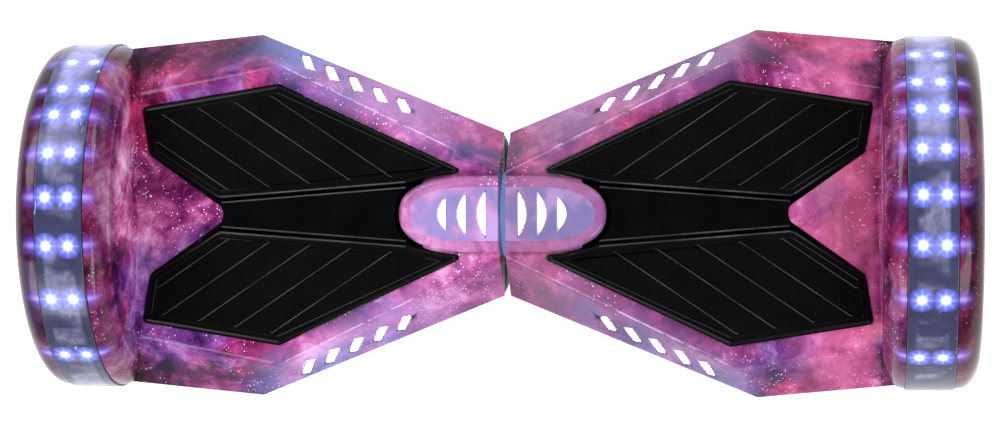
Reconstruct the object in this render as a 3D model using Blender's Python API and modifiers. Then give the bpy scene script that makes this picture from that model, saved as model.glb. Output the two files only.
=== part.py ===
"""Self-balancing two-wheeled board with 8 inch hub-motor wheels under lit fenders.

The board lies along X, its front faces -Y and it stands on the plane z = 0. The right half (+X) is
modelled first; what the two halves share is mirrored to -X. The halves twist about the wheel axis.
"""

import math

import bmesh
import bpy
from mathutils import Matrix, Vector

# Driving dimensions, in metres
WHEEL_RADIUS = 0.1015
TYRE_WIDTH = 0.050
WHEEL_X = 0.2955
AXLE_Z = WHEEL_RADIUS
HALF_GAP = 0.0023
WALL = 0.003
FIT = 0.0004
DECK_Z = 0.1325
SPLIT_Z = 0.100
WELL_X = 0.260
BODY_END_X = 0.2760

# Fender: an arch about the wheel axis, deeper along Y than it is high
FENDER_RISE = 0.1165
FENDER_REACH = 0.1235
FENDER_STRETCH = FENDER_REACH / FENDER_RISE
FENDER_OUTER_X = 0.330
FENDER_BOTTOM_Z = 0.080
WELL_RADIUS = 0.1115
WHEEL_WINDOW_RADIUS = 0.090
STRIP_X = (0.2785, 0.3127)
STRIP_BOTTOM_Z = 0.085
STRIP_SEAT_RADIUS = 0.1146
STRIP_THICKNESS = 0.0018

# Body, as half-depths along Y at points along X: the widest line, and the crease round the deck
RIM = [(HALF_GAP, 0.0580), (0.1767, 0.1294), (BODY_END_X, 0.1200)]
CREASE = [(HALF_GAP, 0.0300), (0.1594, 0.1061), (BODY_END_X, 0.0830)]
DIAGONAL_PARTS = 3
UNDERSIDE_Z = 0.045
UNDERSIDE_CENTRE_Z = 0.060
BELLY_X = 0.080
BELLY_KNEE = (0.004, 0.074)
BELLY_FOOT = 0.021

# Centre pod: half a superellipse at the inner end of the deck
POD_CENTRE_X = 0.020
POD_LENGTH = 0.053
POD_HALF_DEPTH = 0.0268
POD_POWER = 2.4
POD_TOP_Z = 0.1375
POD_SLOPE = 0.0045
POD_BORDER = 0.0015
POD_CORNERS = [math.radians(angle) for angle in (17, 39, 60, 70)]

# Footpads: corners of the rear right wing, and the groove between the two wings
WING_OUTER = (0.2578, 0.0765)
WING_BACK = (0.1589, 0.0925)
WING_TIP = (0.0345, 0.0300)
WING_TIP_RADIUS = 0.0036
WING_WAIST = (0.2522, 0.0423)
NOSE_X = 0.1987
NOSE_RADIUS = 0.008
NOSE_TURN = math.radians(125)
GROOVE_BEND = (0.0683, 0.0206)
GROOVE_END = (0.2010, 0.0104)
PAD_TOP_Z = 0.1355
PAD_BOTTOM_Z = 0.1264
PAD_GAP = 0.0008
TRAY_Z = (0.1210, 0.1240)
ISLAND_TOP_Z = 0.1330

# Light windows
SIDE_WINDOWS = 5
SIDE_WINDOW_FIRST = (0.0726, 0.0775)
SIDE_WINDOW_LAST = (0.1421, 0.1089)
SIDE_WINDOW_LONG = (0.0038, 0.0052)
SIDE_WINDOW_SHORT = (0.0031, 0.0005)
POD_WINDOWS = [(0.0110, 0.0171), (0.0250, 0.0154), (0.0390, 0.0122)]
POD_WINDOW_BULGE = 0.0066
LIGHT_BAR = (0.090, 0.020, 0.0025)
LIGHT_BAR_DEPTH = 0.0048
POD_LIGHT_INSET = 0.0085
POD_LIGHT_THICKNESS = 0.0041

# Frame, shaft and wheel
PLATE_Z = (0.090, 0.094)
FRAME_FOOT_Z = 0.054
FRAME = [(0.0080, 0.0260), (0.1500, 0.0860), (0.2580, 0.0780)]
FRAME_HOLLOW = [(0.0650, 0.0440), (0.1500, 0.0815), (0.2200, 0.0763)]
POSTS = [(0.100, 0.046), (0.100, -0.046), (0.205, 0.052), (0.205, -0.052)]
POST_RADIUS = 0.0045
BOSS_RADIUS = 0.0245
BOSS_X = (0.0058, 0.0620)
SHAFT_RADIUS = 0.016
SHAFT_BORE = 0.012
BUSH_RADIUS = 0.0195
BUSH_LENGTH = 0.014
BUSH_X = (0.0065, 0.0470)
SHAFT_X = (-0.0600, 0.0660)
SHAFT_CLEARANCE = 0.0003
RETAINING_RING = (0.0630, 0.0646, 0.0215)
SEAL_HALF_WIDTH = 0.0018
SEAL_RADIUS = 0.0300
COVER_SHAFT_HOLE = 0.0215
HARNESS_X = (-0.080, 0.076)
HARNESS_RADIUS = 0.0050
AXLE_RADIUS = 0.0083
AXLE_HOLE = 0.0140
SADDLE_X = (0.2240, 0.2580)
CLAMP_X = (0.2270, 0.2520)
CLAMP_HALF = 0.0210
BOLT_Y = 0.0155
BOLT_RADIUS = 0.0026
BOLT_HEAD_RADIUS = 0.0044
CLAMP_TOP_Z = 0.1150

# Rear wall of the right half: charging socket and power button, both facing +Y
SOCKET_AT = (0.2180, 0.0860)
BUTTON_AT = (0.1920, 0.0860)
REAR_WALL_Y = 0.1222
REAR_INSIDE_Y = 0.1150
FLANGE_RADIUS = 0.0108
FLANGE_THICKNESS = 0.0016
SOCKET_RADIUS = 0.0080
SOCKET_BORE = 0.0060
CAP_RADIUS = 0.0100
CAP_THICKNESS = 0.0012
CAP_GAP = 0.0003
STRAP_HALF_WIDTH = 0.004
BUTTON_RADIUS = 0.0062
BUTTON_COLLAR = 0.0082
BUTTON_PROUD = 0.0006
SWITCH_Y = (0.1000, 0.1128)
CUT_END_Y = 0.14

# Electronics inside the halves, as boxes from one corner to the other
SENSOR_BOARD = ((0.120, -0.032, 0.1080), (0.190, 0.032, 0.1096))
FOOT_SENSOR_X = (0.146, 0.162)
FOOT_SENSOR_Y = 0.022
FOOT_SENSOR_HALF = 0.005
BATTERY = ((0.0850, -0.0430, 0.0500), (0.2150, 0.0430, 0.0885))
CONTROL_BOARD = ((-0.1850, -0.0400, 0.0760), (-0.0850, 0.0400, 0.0776))
HEAT_SINK = ((-0.180, -0.036, 0.0770), (-0.090, 0.036, 0.0885))
CAPACITORS_X = (-0.165, -0.140, -0.115)
CAPACITOR_RADIUS = 0.0080
SPEAKER_X = -0.2025
SPEAKER_RADIUS = 0.0145
SPEAKER_Z = (0.0486, 0.0620)

TURN_STEPS = 36
SMALL_STEPS = 24


def clear_scene():
    for old in list(bpy.data.objects):
        bpy.data.objects.remove(old)


def new_collection(name):
    collection = bpy.data.collections.new(name)
    bpy.context.scene.collection.children.link(collection)
    return collection


def new_material(name, colour, roughness, metallic=0.0):
    material = bpy.data.materials.new(name)
    material.use_nodes = True
    shader = material.node_tree.nodes["Principled BSDF"]
    shader.inputs["Base Color"].default_value = (*colour, 1.0)
    shader.inputs["Roughness"].default_value = roughness
    shader.inputs["Metallic"].default_value = metallic
    return material


clear_scene()
BOARD = new_collection("hoverboard")
CUTTERS = new_collection("cutters")
PRINT = new_material("printed_shell", (0.42, 0.10, 0.30), 0.25)
BLACK = new_material("black_plastic", (0.02, 0.02, 0.022), 0.45)
GLOSS = new_material("gloss_black", (0.008, 0.008, 0.009), 0.15)
RUBBER = new_material("rubber", (0.018, 0.018, 0.018), 0.7)
ALUMINIUM = new_material("aluminium", (0.55, 0.56, 0.58), 0.4, 1.0)
STEEL = new_material("steel", (0.45, 0.45, 0.46), 0.3, 1.0)
COPPER = new_material("copper", (0.60, 0.28, 0.12), 0.35, 1.0)
BRONZE = new_material("bronze", (0.55, 0.38, 0.16), 0.35, 1.0)
LENS = new_material("light_lens", (0.85, 0.85, 0.95), 0.2)
BOARD_GREEN = new_material("circuit_board", (0.03, 0.16, 0.07), 0.5)
WRAP = new_material("battery_wrap", (0.05, 0.16, 0.42), 0.4)


# Making and placing objects


def add_object(name, mesh, material=None):
    """A node of the board if it has a material, or else a cutter."""
    made = bpy.data.objects.new(name, mesh)
    if material:
        mesh.materials.clear()
        mesh.materials.append(material)
        BOARD.objects.link(made)
    else:
        CUTTERS.objects.link(made)
        made.hide_render = True
        made.display_type = "WIRE"
    return made


def evaluated_mesh(source):
    bpy.context.view_layer.update()
    return bpy.data.meshes.new_from_object(
        source.evaluated_get(bpy.context.evaluated_depsgraph_get())
    )


def tidy_mesh(mesh, weld=1e-6):
    """Welds coincident points and turns every face outwards."""
    work = bmesh.new()
    work.from_mesh(mesh)
    bmesh.ops.remove_doubles(work, verts=work.verts, dist=weld)
    bmesh.ops.recalc_face_normals(work, faces=work.faces)
    work.to_mesh(mesh)
    work.free()


def box(name, low, high, material=None):
    low, high = Vector(low), Vector(high)
    size = high - low
    work = bmesh.new()
    bmesh.ops.create_cube(work, size=1.0)
    bmesh.ops.scale(work, vec=size, verts=work.verts)
    bmesh.ops.translate(work, vec=(low + high) / 2, verts=work.verts)
    mesh = bpy.data.meshes.new(name)
    work.to_mesh(mesh)
    work.free()
    return add_object(name, mesh, material)


AXES = {"X": Matrix.Rotation(math.pi / 2, 4, "Y"), "Y": Matrix.Rotation(-math.pi / 2, 4, "X"), "Z": Matrix()}


def cylinder(name, radius, at, span, axis, material=None, steps=SMALL_STEPS):
    """A cylinder along an axis. `at` holds the other two coordinates, and `span` its two ends."""
    middle, length = sum(span) / 2, abs(span[1] - span[0])
    centre = {
        "X": (middle, at[0], at[1]),
        "Y": (at[0], middle, at[1]),
        "Z": (at[0], at[1], middle),
    }[axis]
    work = bmesh.new()
    bmesh.ops.create_cone(
        work,
        cap_ends=True,
        segments=steps,
        radius1=radius,
        radius2=radius,
        depth=length,
        matrix=Matrix.Translation(centre) @ AXES[axis],
    )
    mesh = bpy.data.meshes.new(name)
    work.to_mesh(mesh)
    work.free()
    made = add_object(name, mesh, material)
    mesh.shade_smooth()
    mesh.set_sharp_from_angle(angle=math.radians(40))
    return made


def plate(name, outline, bottom, top, material=None):
    """A flat outline made solid from one height to another."""
    curve = bpy.data.curves.new(name, "CURVE")
    curve.dimensions = "2D"
    curve.fill_mode = "BOTH"
    curve.extrude = (top - bottom) / 2
    spline = curve.splines.new("POLY")
    spline.points.add(len(outline) - 1)
    for point, (x, y) in zip(spline.points, outline):
        point.co = (x, y, 0.0, 1.0)
    spline.use_cyclic_u = True
    drawn = bpy.data.objects.new(name + "_outline", curve)
    CUTTERS.objects.link(drawn)
    drawn.location.z = (top + bottom) / 2
    mesh = evaluated_mesh(drawn)
    mesh.transform(Matrix.Translation((0, 0, (top + bottom) / 2)))
    tidy_mesh(mesh)
    bpy.data.objects.remove(drawn)
    return add_object(name, mesh, material)


def side_plate(name, outline, front, rear, material=None):
    """An outline of (x, z) points made solid from one y to another."""
    made = plate(name, outline, -rear, -front, material)
    made.data.transform(Matrix.Rotation(math.pi / 2, 4, "X"))
    return made


def turned(name, profile, material=None, steps=TURN_STEPS, centre=(0, 0, 0), stretch=1.0):
    """A profile of (x, radius) points turned about the X axis. It is a ring if no point is on the axis."""
    work = bmesh.new()
    points = [work.verts.new((x, 0, radius)) for x, radius in profile]
    ring = min(radius for _, radius in profile) > 0
    for first, second in zip(points, points[1:] + points[:1] if ring else points[1:]):
        work.edges.new((first, second))
    half_step = Matrix.Rotation(math.pi / steps, 4, "X")
    bmesh.ops.transform(work, matrix=half_step, verts=work.verts)
    mesh = bpy.data.meshes.new(name)
    work.to_mesh(mesh)
    work.free()
    drawn = bpy.data.objects.new(name + "_profile", mesh)
    CUTTERS.objects.link(drawn)
    screw = drawn.modifiers.new("turn", "SCREW")
    screw.axis = "X"
    screw.steps = screw.render_steps = steps
    screw.use_merge_vertices = True
    screw.merge_threshold = 0.00001
    solid = evaluated_mesh(drawn)
    solid.transform(Matrix.Translation(centre) @ Matrix.Diagonal((1, stretch, 1, 1)))
    tidy_mesh(solid)
    bpy.data.objects.remove(drawn)
    solid.shade_smooth()
    solid.set_sharp_from_angle(angle=math.radians(30))
    return add_object(name, solid, material)


def loft(name, sections, material=None):
    """A closed solid through sections with the same number of points, each section a flat ring."""
    work = bmesh.new()
    rings = [[work.verts.new(point) for point in section] for section in sections]
    for lower, upper in zip(rings, rings[1:]):
        for i, corner in enumerate(lower):
            after = (i + 1) % len(lower)
            work.faces.new((corner, lower[after], upper[after], upper[i]))
    work.faces.new(rings[0])
    work.faces.new(rings[-1])
    bmesh.ops.recalc_face_normals(work, faces=work.faces)
    mesh = bpy.data.meshes.new(name)
    work.to_mesh(mesh)
    work.free()
    return add_object(name, mesh, material)


def boolean(target, tool, operation):
    change = target.modifiers.new(tool.name, "BOOLEAN")
    change.operation = operation
    change.object = tool
    change.solver = "EXACT"


def cut(target, *tools):
    for tool in tools:
        boolean(target, tool, "DIFFERENCE")


def join(target, *tools):
    for tool in tools:
        boolean(target, tool, "UNION")


def bake(target):
    """Replaces an object's mesh by its evaluated one, so that a mirrored copy can share it."""
    mesh = evaluated_mesh(target)
    target.modifiers.clear()
    target.data = mesh
    return target


def soften(target, width, angle=50, segments=2):
    bevel = target.modifiers.new("soft edges", "BEVEL")
    bevel.width = width
    bevel.segments = segments
    bevel.limit_method = "ANGLE"
    bevel.angle_limit = math.radians(angle)


def left_copy(right, name=None):
    """The left half's copy of a right-hand piece, mirrored across the plane between the halves."""
    bake(right)
    made = bpy.data.objects.new(name or right.name.replace("right_", "left_"), right.data)
    made.scale.x = -1
    BOARD.objects.link(made)
    return made


def axis_empty(name, at, parent=None):
    empty = bpy.data.objects.new(name, None)
    empty.location = at
    BOARD.objects.link(empty)
    if parent:
        attach(empty, parent)
    return empty


def attach(child, parent):
    bpy.context.view_layer.update()
    child.parent = parent
    child.matrix_parent_inverse = parent.matrix_world.inverted()


def origin_to(target, point):
    """Moves an object's origin to a point without moving the object."""
    target.data = target.data.copy()
    mirror = Matrix.Diagonal((*target.scale, 1))
    target.data.transform(mirror.inverted() @ Matrix.Translation(-Vector(point)) @ mirror)
    target.location = point


# Outlines


def both_sides(half):
    """A ring from points with y above 0, listed along +X, and their mirror images below."""
    return [(x, -y) for x, y in half] + [(x, y) for x, y in reversed(half)]


def divided(line, parts=DIAGONAL_PARTS):
    """The line with its first stretch split into equal parts."""
    (x0, y0), (x1, y1) = line[:2]
    added = [
        (x0 + (x1 - x0) * i / parts, y0 + (y1 - y0) * i / parts) for i in range(parts)
    ]
    return added + line[1:]


def shrunk(line, side, inner=0.0, outer=0.0):
    """The line moved in by `side` along Y, and by `inner` and `outer` at its two ends along X."""
    moved = [(x, y - side) for x, y in line]
    moved[0] = (line[0][0] + inner, moved[0][1])
    moved[-1] = (line[-1][0] - outer, moved[-1][1])
    return moved


def level(outline, z):
    return [(x, y, z) for x, y in outline]


def arc(centre, radius, start, end, parts):
    return [
        (
            centre[0] + radius * math.cos(start + (end - start) * i / parts),
            centre[1] + radius * math.sin(start + (end - start) * i / parts),
        )
        for i in range(parts + 1)
    ]


def pod_edge(angle, grown=0.0):
    """A point on the pod's outer end, at an angle from +X."""
    power = 2 / POD_POWER
    return (
        POD_CENTRE_X + (POD_LENGTH + grown) * math.cos(angle) ** power,
        (POD_HALF_DEPTH + grown) * math.sin(angle) ** power,
    )


def pod_outline(grown=0.0, inner_x=HALF_GAP, parts=7):
    rounded = [pod_edge(math.pi / 2 * i / parts, grown) for i in range(parts)]
    half = [(inner_x, POD_HALF_DEPTH + grown)]
    half += [(POD_CENTRE_X, POD_HALF_DEPTH + grown)]
    half += list(reversed(rounded[1:]))
    return [(x, -y) for x, y in half] + [rounded[0]] + [(x, y) for x, y in reversed(half)]


def wing_back_edge():
    """The footpad's outer edge from its tip by the pod round to its waist, listed away from the pod."""
    tip = arc(WING_TIP, WING_TIP_RADIUS, math.radians(255), math.radians(115), 3)
    return tip + [WING_BACK, WING_OUTER, WING_WAIST]


def pod_side(first, last):
    """Points beside the pod, just outside its edge, from one of its corners to another."""
    return [pod_edge(angle, POD_BORDER) for angle in POD_CORNERS[first:last]]


def pointed_ring(half):
    """A ring from the pod's end and a half with y above 0 that ends on the X axis, and its mirror image."""
    return [pod_edge(0, POD_BORDER)] + half + [(x, -y) for x, y in reversed(half[:-1])]


def nose():
    return arc((NOSE_X + NOSE_RADIUS, 0), NOSE_RADIUS, NOSE_TURN, math.pi, 3)


def deck_opening():
    """The opening in the deck that both wings and the island between them fill."""
    return pointed_ring(pod_side(0, 4) + wing_back_edge() + nose())


def wing_outline():
    """One wing: round the tip and the back, then home along the groove beside the island."""
    end = (GROOVE_END[0] + 0.0035, GROOVE_END[1] + 0.0008)
    return pod_side(2, 4) + wing_back_edge() + [end, GROOVE_END, GROOVE_BEND]


def island_outline():
    return pointed_ring(pod_side(0, 3) + [GROOVE_BEND, GROOVE_END] + nose())


def inset(outline, distance):
    """The outline moved inwards by a distance, whichever way round it is listed."""
    count = len(outline)
    area = sum(
        outline[i][0] * outline[(i + 1) % count][1] - outline[(i + 1) % count][0] * outline[i][1]
        for i in range(count)
    )
    turn = 1 if area > 0 else -1
    moved = []
    for i, here in enumerate(outline):
        before, after = Vector(outline[i - 1]), Vector(outline[(i + 1) % count])
        here = Vector(here)
        one, two = (here - before).normalized(), (after - here).normalized()
        normal_one = Vector((-one.y, one.x)) * turn
        normal_two = Vector((-two.y, two.x)) * turn
        middle = (normal_one + normal_two).normalized()
        reach = distance / max(0.35, middle.dot(normal_one))
        moved.append(tuple(here + middle * reach))
    return moved


def mirrored_y(outline):
    return [(x, -y) for x, y in outline]


# Covers


def body_solid(name, material=None, inside=False):
    """The deck body above the split: its outside, or the hollow inside it."""
    rim, crease = divided(RIM), divided(CREASE)
    if not inside:
        rings = [level(both_sides(rim), SPLIT_Z), level(both_sides(crease), DECK_Z)]
        return loft(name, rings, material)
    rim = shrunk(rim, 0.0036, WALL, BODY_END_X - WELL_X)
    crease = shrunk(crease, 0.0017, WALL, BODY_END_X - WELL_X)
    rings = [
        level(both_sides(rim), SPLIT_Z - 0.010),
        level(both_sides(rim), SPLIT_Z),
        level(both_sides(crease), DECK_Z - WALL),
    ]
    return loft(name, rings, material)


def fender_profile():
    """(x, radius) from the axle out along the inner wall, over the crown and down the outer face."""
    return [
        (WELL_X, 0.0),
        (WELL_X, 0.0290),
        (0.2635, 0.0975),
        (0.2690, 0.1095),
        (0.2765, 0.1150),
        (WHEEL_X, FENDER_RISE),
        (0.3145, 0.1155),
        (0.3225, 0.1125),
        (0.3282, 0.1050),
        (FENDER_OUTER_X, 0.0960),
        (FENDER_OUTER_X, 0.0),
    ]


def well_profile():
    """The wheel well, a wall's thickness inside the fender."""
    return [
        (WELL_X + WALL, 0.0),
        (WELL_X + WALL, 0.0290),
        (0.2665, 0.0960),
        (0.2715, 0.1055),
        (0.2780, WELL_RADIUS),
        (0.3135, WELL_RADIUS),
        (0.3205, 0.1085),
        (FENDER_OUTER_X - WALL, 0.1010),
        (FENDER_OUTER_X - WALL, 0.0),
    ]


def about_wheel_axis(name, profile, stretch=FENDER_STRETCH):
    return turned(name, profile, centre=(0, 0, AXLE_Z), stretch=stretch)


def disc_profile(start, end, radius):
    return [(start, 0.0), (start, radius), (end, radius), (end, 0.0)]


def ring_profile(start, end, inner, outer):
    return [(start, inner), (start, outer), (end, outer), (end, inner)]


def pod_solid(name, grown, bottom, top, slope, inner_x):
    rings = [
        level(pod_outline(grown, inner_x), bottom),
        level(pod_outline(grown, inner_x), DECK_Z),
        level(pod_outline(grown - slope, inner_x), top),
    ]
    return loft(name, rings)


def side_window_centres():
    for i in range(SIDE_WINDOWS):
        share = i / (SIDE_WINDOWS - 1)
        yield tuple(
            a + (b - a) * share for a, b in zip(SIDE_WINDOW_FIRST, SIDE_WINDOW_LAST)
        )


def side_window(centre, grown=0.0):
    """A leaning parallelogram about a centre on the rear side."""
    long, short = Vector(SIDE_WINDOW_LONG), Vector(SIDE_WINDOW_SHORT)
    corners = [-long - short, -long + short, long + short, long - short]
    return inset([tuple(Vector(centre) + corner) for corner in corners], -grown)


def pod_window(x, half_length, parts=6):
    """A crescent: straight on the side of the gap, bulging away from it."""
    points = []
    for i in range(parts + 1):
        share = -1 + 2 * i / parts
        points.append((x + POD_WINDOW_BULGE * (1 - share**2), share * half_length))
    return points


def make_upper_cover():
    cover = body_solid("right_upper_cover", PRINT)
    fender = about_wheel_axis("fender_solid", fender_profile())
    floor_cut = box("below_fender", (0.2, -0.2, -0.1), (0.4, 0.2, FENDER_BOTTOM_Z))
    low, high = (0.2, -0.2, 0.0), (WELL_X + WALL + FIT, 0.2, SPLIT_Z + 0.001)
    cut(fender, floor_cut, box("below_well_wall", low, high))
    pod = pod_solid("pod_solid", 0.0, DECK_Z - 0.002, POD_TOP_Z, POD_SLOPE, HALF_GAP + FIT)
    join(cover, fender, pod)
    cut(cover, body_solid("body_hollow", inside=True))
    hollow_pod = pod_solid(
        "pod_hollow", -0.004, DECK_Z - 0.010, POD_TOP_Z - WALL, POD_SLOPE / 2, HALF_GAP + WALL + FIT
    )
    well = about_wheel_axis("wheel_well", well_profile())
    window = about_wheel_axis(
        "wheel_window", disc_profile(WHEEL_X, FENDER_OUTER_X + 0.01, WHEEL_WINDOW_RADIUS), 1.0
    )
    strip_seat = about_wheel_axis(
        "strip_seat", ring_profile(*STRIP_X, STRIP_SEAT_RADIUS, FENDER_RISE + 0.01)
    )
    opening = plate("pad_opening", deck_opening(), DECK_Z - 0.008, DECK_Z + 0.02)
    shaft_hole = cylinder("shaft_hole", COVER_SHAFT_HOLE, (0, AXLE_Z), (-0.01, 0.02), "X")
    axle_hole = cylinder("axle_hole", AXLE_HOLE, (0, AXLE_Z), (0.25, 0.28), "X")
    cut(cover, hollow_pod, well, window, strip_seat, opening, shaft_hole, axle_hole)
    for i, centre in enumerate(side_window_centres()):
        rear = side_window(centre)
        cut(cover, plate(f"rear_window_{i}", rear, 0.090, 0.160))
        cut(cover, plate(f"front_window_{i}", mirrored_y(rear), 0.090, 0.160))
    for i, (x, half_length) in enumerate(POD_WINDOWS):
        cut(cover, plate(f"pod_window_{i}", pod_window(x, half_length), 0.125, 0.160))
    return cover, axle_hole, shaft_hole


def lower_solid(name, material=None, wall=0.0):
    """The belly below the split: its outside, or with a wall the hollow inside it."""
    top = SPLIT_Z - FIT
    line = [RIM[0], (BELLY_X, 0.0898), RIM[1], (WELL_X + WALL, 0.1212)]
    upper = shrunk(line, wall * 1.1, wall, wall)
    middle = shrunk(line, wall * 1.1 + BELLY_KNEE[0], wall, wall)
    foot = shrunk(line, wall * 1.1 + BELLY_FOOT, wall, wall)
    rings = [
        level(both_sides(upper), top + (0.01 if wall else 0.0)),
        level(both_sides(middle), BELLY_KNEE[1]),
        level(both_sides(foot), UNDERSIDE_Z + wall),
    ]
    belly = loft(name, rings, material)
    rise = (UNDERSIDE_CENTRE_Z - UNDERSIDE_Z) / (BELLY_X - HALF_GAP)
    past = 0.01
    wedge = [
        (BELLY_X, UNDERSIDE_Z + wall),
        (HALF_GAP - past, UNDERSIDE_CENTRE_Z + wall + rise * past),
        (HALF_GAP - past, 0.0),
        (BELLY_X, 0.0),
    ]
    cut(belly, side_plate(name + "_ramp", wedge, -0.2, 0.2))
    return belly


def make_lower_cover(axle_hole, shaft_hole):
    cover = lower_solid("right_lower_cover", BLACK)
    cut(cover, lower_solid("belly_hollow", wall=WALL), axle_hole, shaft_hole)
    return cover


def make_strip():
    strip = turned(
        "right_fender_light",
        ring_profile(
            STRIP_X[0] + FIT,
            STRIP_X[1] - FIT,
            STRIP_SEAT_RADIUS + FIT,
            STRIP_SEAT_RADIUS + FIT + STRIP_THICKNESS,
        ),
        GLOSS,
        centre=(0, 0, AXLE_Z),
        stretch=FENDER_STRETCH,
    )
    cut(strip, box("below_strip", (0.2, -0.2, -0.1), (0.4, 0.2, STRIP_BOTTOM_Z)))
    return strip


def lay_on(name, corners, size, depth, material):
    """A block with its outer face a depth under the plane of three points and centred between them."""
    first, second, third = (Vector(corner) for corner in corners)
    along = (second - first).normalized()
    normal = along.cross(third - first).normalized()
    if normal.z < 0:
        normal.negate()
    across = normal.cross(along)
    centre = (first + second) / 2 + across * (third - (first + second) / 2).dot(across) / 2
    centre -= normal * (depth + size[2] / 2)
    turn = Matrix((along, across, normal)).transposed().to_4x4()
    made = box(name, [-s / 2 for s in size], [s / 2 for s in size], material)
    made.data.transform(Matrix.Translation(centre) @ turn)
    tidy_mesh(made.data)
    return made


def make_lights():
    """Light bars behind the side windows, and one under the pod's windows."""
    low, high = Vector((0.060, 0.0816, SPLIT_Z)), Vector((0.152, 0.1193, SPLIT_Z))
    crest = Vector((0.106, 0.0802, DECK_Z))
    wall = (low, high, crest)
    rear = lay_on("right_rear_light", wall, LIGHT_BAR, LIGHT_BAR_DEPTH, LENS)
    wall = [(x, -y, z) for x, y, z in wall]
    front = lay_on("right_front_light", wall, LIGHT_BAR, LIGHT_BAR_DEPTH, LENS)
    outline = inset(pod_outline(0, HALF_GAP + WALL), POD_LIGHT_INSET)
    top = POD_TOP_Z - WALL - FIT
    centre = plate("right_pod_light", outline, top - POD_LIGHT_THICKNESS, top, LENS)
    return rear, front, centre


# Footpads


def make_pads():
    tray_edge = inset(deck_opening(), 0.0012)
    tray = plate("right_footpad_tray", tray_edge, *TRAY_Z, GLOSS)
    island = plate("island_solid", inset(island_outline(), PAD_GAP), TRAY_Z[1] - 0.001, ISLAND_TOP_Z)
    join(tray, island)
    wing = inset(wing_outline(), PAD_GAP)
    pads = []
    for place, outline in (("rear", wing), ("front", mirrored_y(wing))):
        rings = [
            level(outline, PAD_BOTTOM_Z),
            level(outline, PAD_TOP_Z - 0.0025),
            level(inset(outline, 0.0022), PAD_TOP_Z),
        ]
        pads.append(loft(f"right_{place}_footpad", rings, RUBBER))
    return tray, pads


# Frame, shaft and electronics


def make_frame():
    """A cast half frame: a plate with walls hanging from it, the shaft's boss, and the axle's saddle."""
    frame = plate("right_frame", both_sides(FRAME), FRAME_FOOT_Z, PLATE_Z[1], ALUMINIUM)
    cut(frame, plate("frame_hollow", both_sides(FRAME_HOLLOW), 0.0, PLATE_Z[0]))
    join(frame, cylinder("boss", BOSS_RADIUS, (0, AXLE_Z), BOSS_X, "X", steps=32))
    join(frame, box("saddle", (SADDLE_X[0], -0.024, 0.085), (SADDLE_X[1], 0.024, AXLE_Z - FIT)))
    for i, at in enumerate(POSTS):
        join(frame, cylinder(f"post_{i}", POST_RADIUS, at, (0.092, TRAY_Z[0] - FIT), "Z", steps=10))
    below_boss = box("below_boss", (-0.01, -0.1, 0.0), (BOSS_X[1] + 0.002, 0.1, 0.0765))
    cut(frame, below_boss)
    cut(frame, cylinder("ring_room", 0.0235, (0, AXLE_Z), (0.0623, 0.0800), "X"))
    cut(frame, cylinder("axle_seat", AXLE_RADIUS + FIT, (0, AXLE_Z), (0.20, 0.30), "X"))
    for i, y in enumerate((-BOLT_Y, BOLT_Y)):
        at = (sum(CLAMP_X) / 2, y)
        cut(frame, cylinder(f"bolt_hole_{i}", BOLT_RADIUS + FIT, at, (0.088, 0.12), "Z", steps=10))
    return frame


def make_clamp():
    low = (CLAMP_X[0], -CLAMP_HALF, AXLE_Z + FIT)
    clamp = box("right_axle_clamp", low, (CLAMP_X[1], CLAMP_HALF, CLAMP_TOP_Z), ALUMINIUM)
    cut(clamp, cylinder("clamp_groove", AXLE_RADIUS + FIT, (0, AXLE_Z), (0.20, 0.30), "X"))
    bolts = []
    for place, y in (("front", -BOLT_Y), ("rear", BOLT_Y)):
        at = (sum(CLAMP_X) / 2, y)
        cut(clamp, cylinder(f"clamp_hole_{place}", BOLT_RADIUS + FIT, at, (0.09, 0.12), "Z", steps=10))
        name = f"right_{place}_clamp_bolt"
        bolt = cylinder(name, BOLT_RADIUS, at, (0.0892, 0.1170), "Z", STEEL, steps=10)
        span = (CLAMP_TOP_Z + FIT, 0.1192)
        join(bolt, cylinder(f"bolt_head_{place}", BOLT_HEAD_RADIUS, at, span, "Z", steps=12))
        bolts.append(bolt)
    return clamp, bolts


def make_sensor_board():
    board = box("right_sensor_board", *SENSOR_BOARD, BOARD_GREEN)
    for i, y in enumerate((-FOOT_SENSOR_Y, FOOT_SENSOR_Y)):
        low = (FOOT_SENSOR_X[0], y - FOOT_SENSOR_HALF, 0.1090)
        high = (FOOT_SENSOR_X[1], y + FOOT_SENSOR_HALF, 0.1190)
        join(board, box(f"foot_sensor_{i}", low, high))
    return board


def make_shaft():
    """The hollow steel shaft: fixed in the left half, turning in two bushes in the right half."""
    shaft = turned(
        "centre_shaft",
        ring_profile(*SHAFT_X, SHAFT_BORE, SHAFT_RADIUS),
        STEEL,
        centre=(0, 0, AXLE_Z),
        steps=32,
    )
    bushes = [
        turned(
            name,
            ring_profile(start, start + BUSH_LENGTH, SHAFT_RADIUS + SHAFT_CLEARANCE, BUSH_RADIUS),
            BRONZE,
            centre=(0, 0, AXLE_Z),
            steps=32,
        )
        for name, start in zip(("inner_bush", "outer_bush"), BUSH_X)
    ]
    ring = turned(
        "retaining_ring",
        ring_profile(*RETAINING_RING[:2], SHAFT_RADIUS + SHAFT_CLEARANCE, RETAINING_RING[2]),
        STEEL,
        centre=(0, 0, AXLE_Z),
        steps=24,
    )
    seal = turned(
        "centre_seal",
        ring_profile(-SEAL_HALF_WIDTH, SEAL_HALF_WIDTH, SHAFT_RADIUS + SHAFT_CLEARANCE, SEAL_RADIUS),
        RUBBER,
        centre=(0, 0, AXLE_Z),
        steps=32,
    )
    return shaft, bushes, ring, seal


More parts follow.
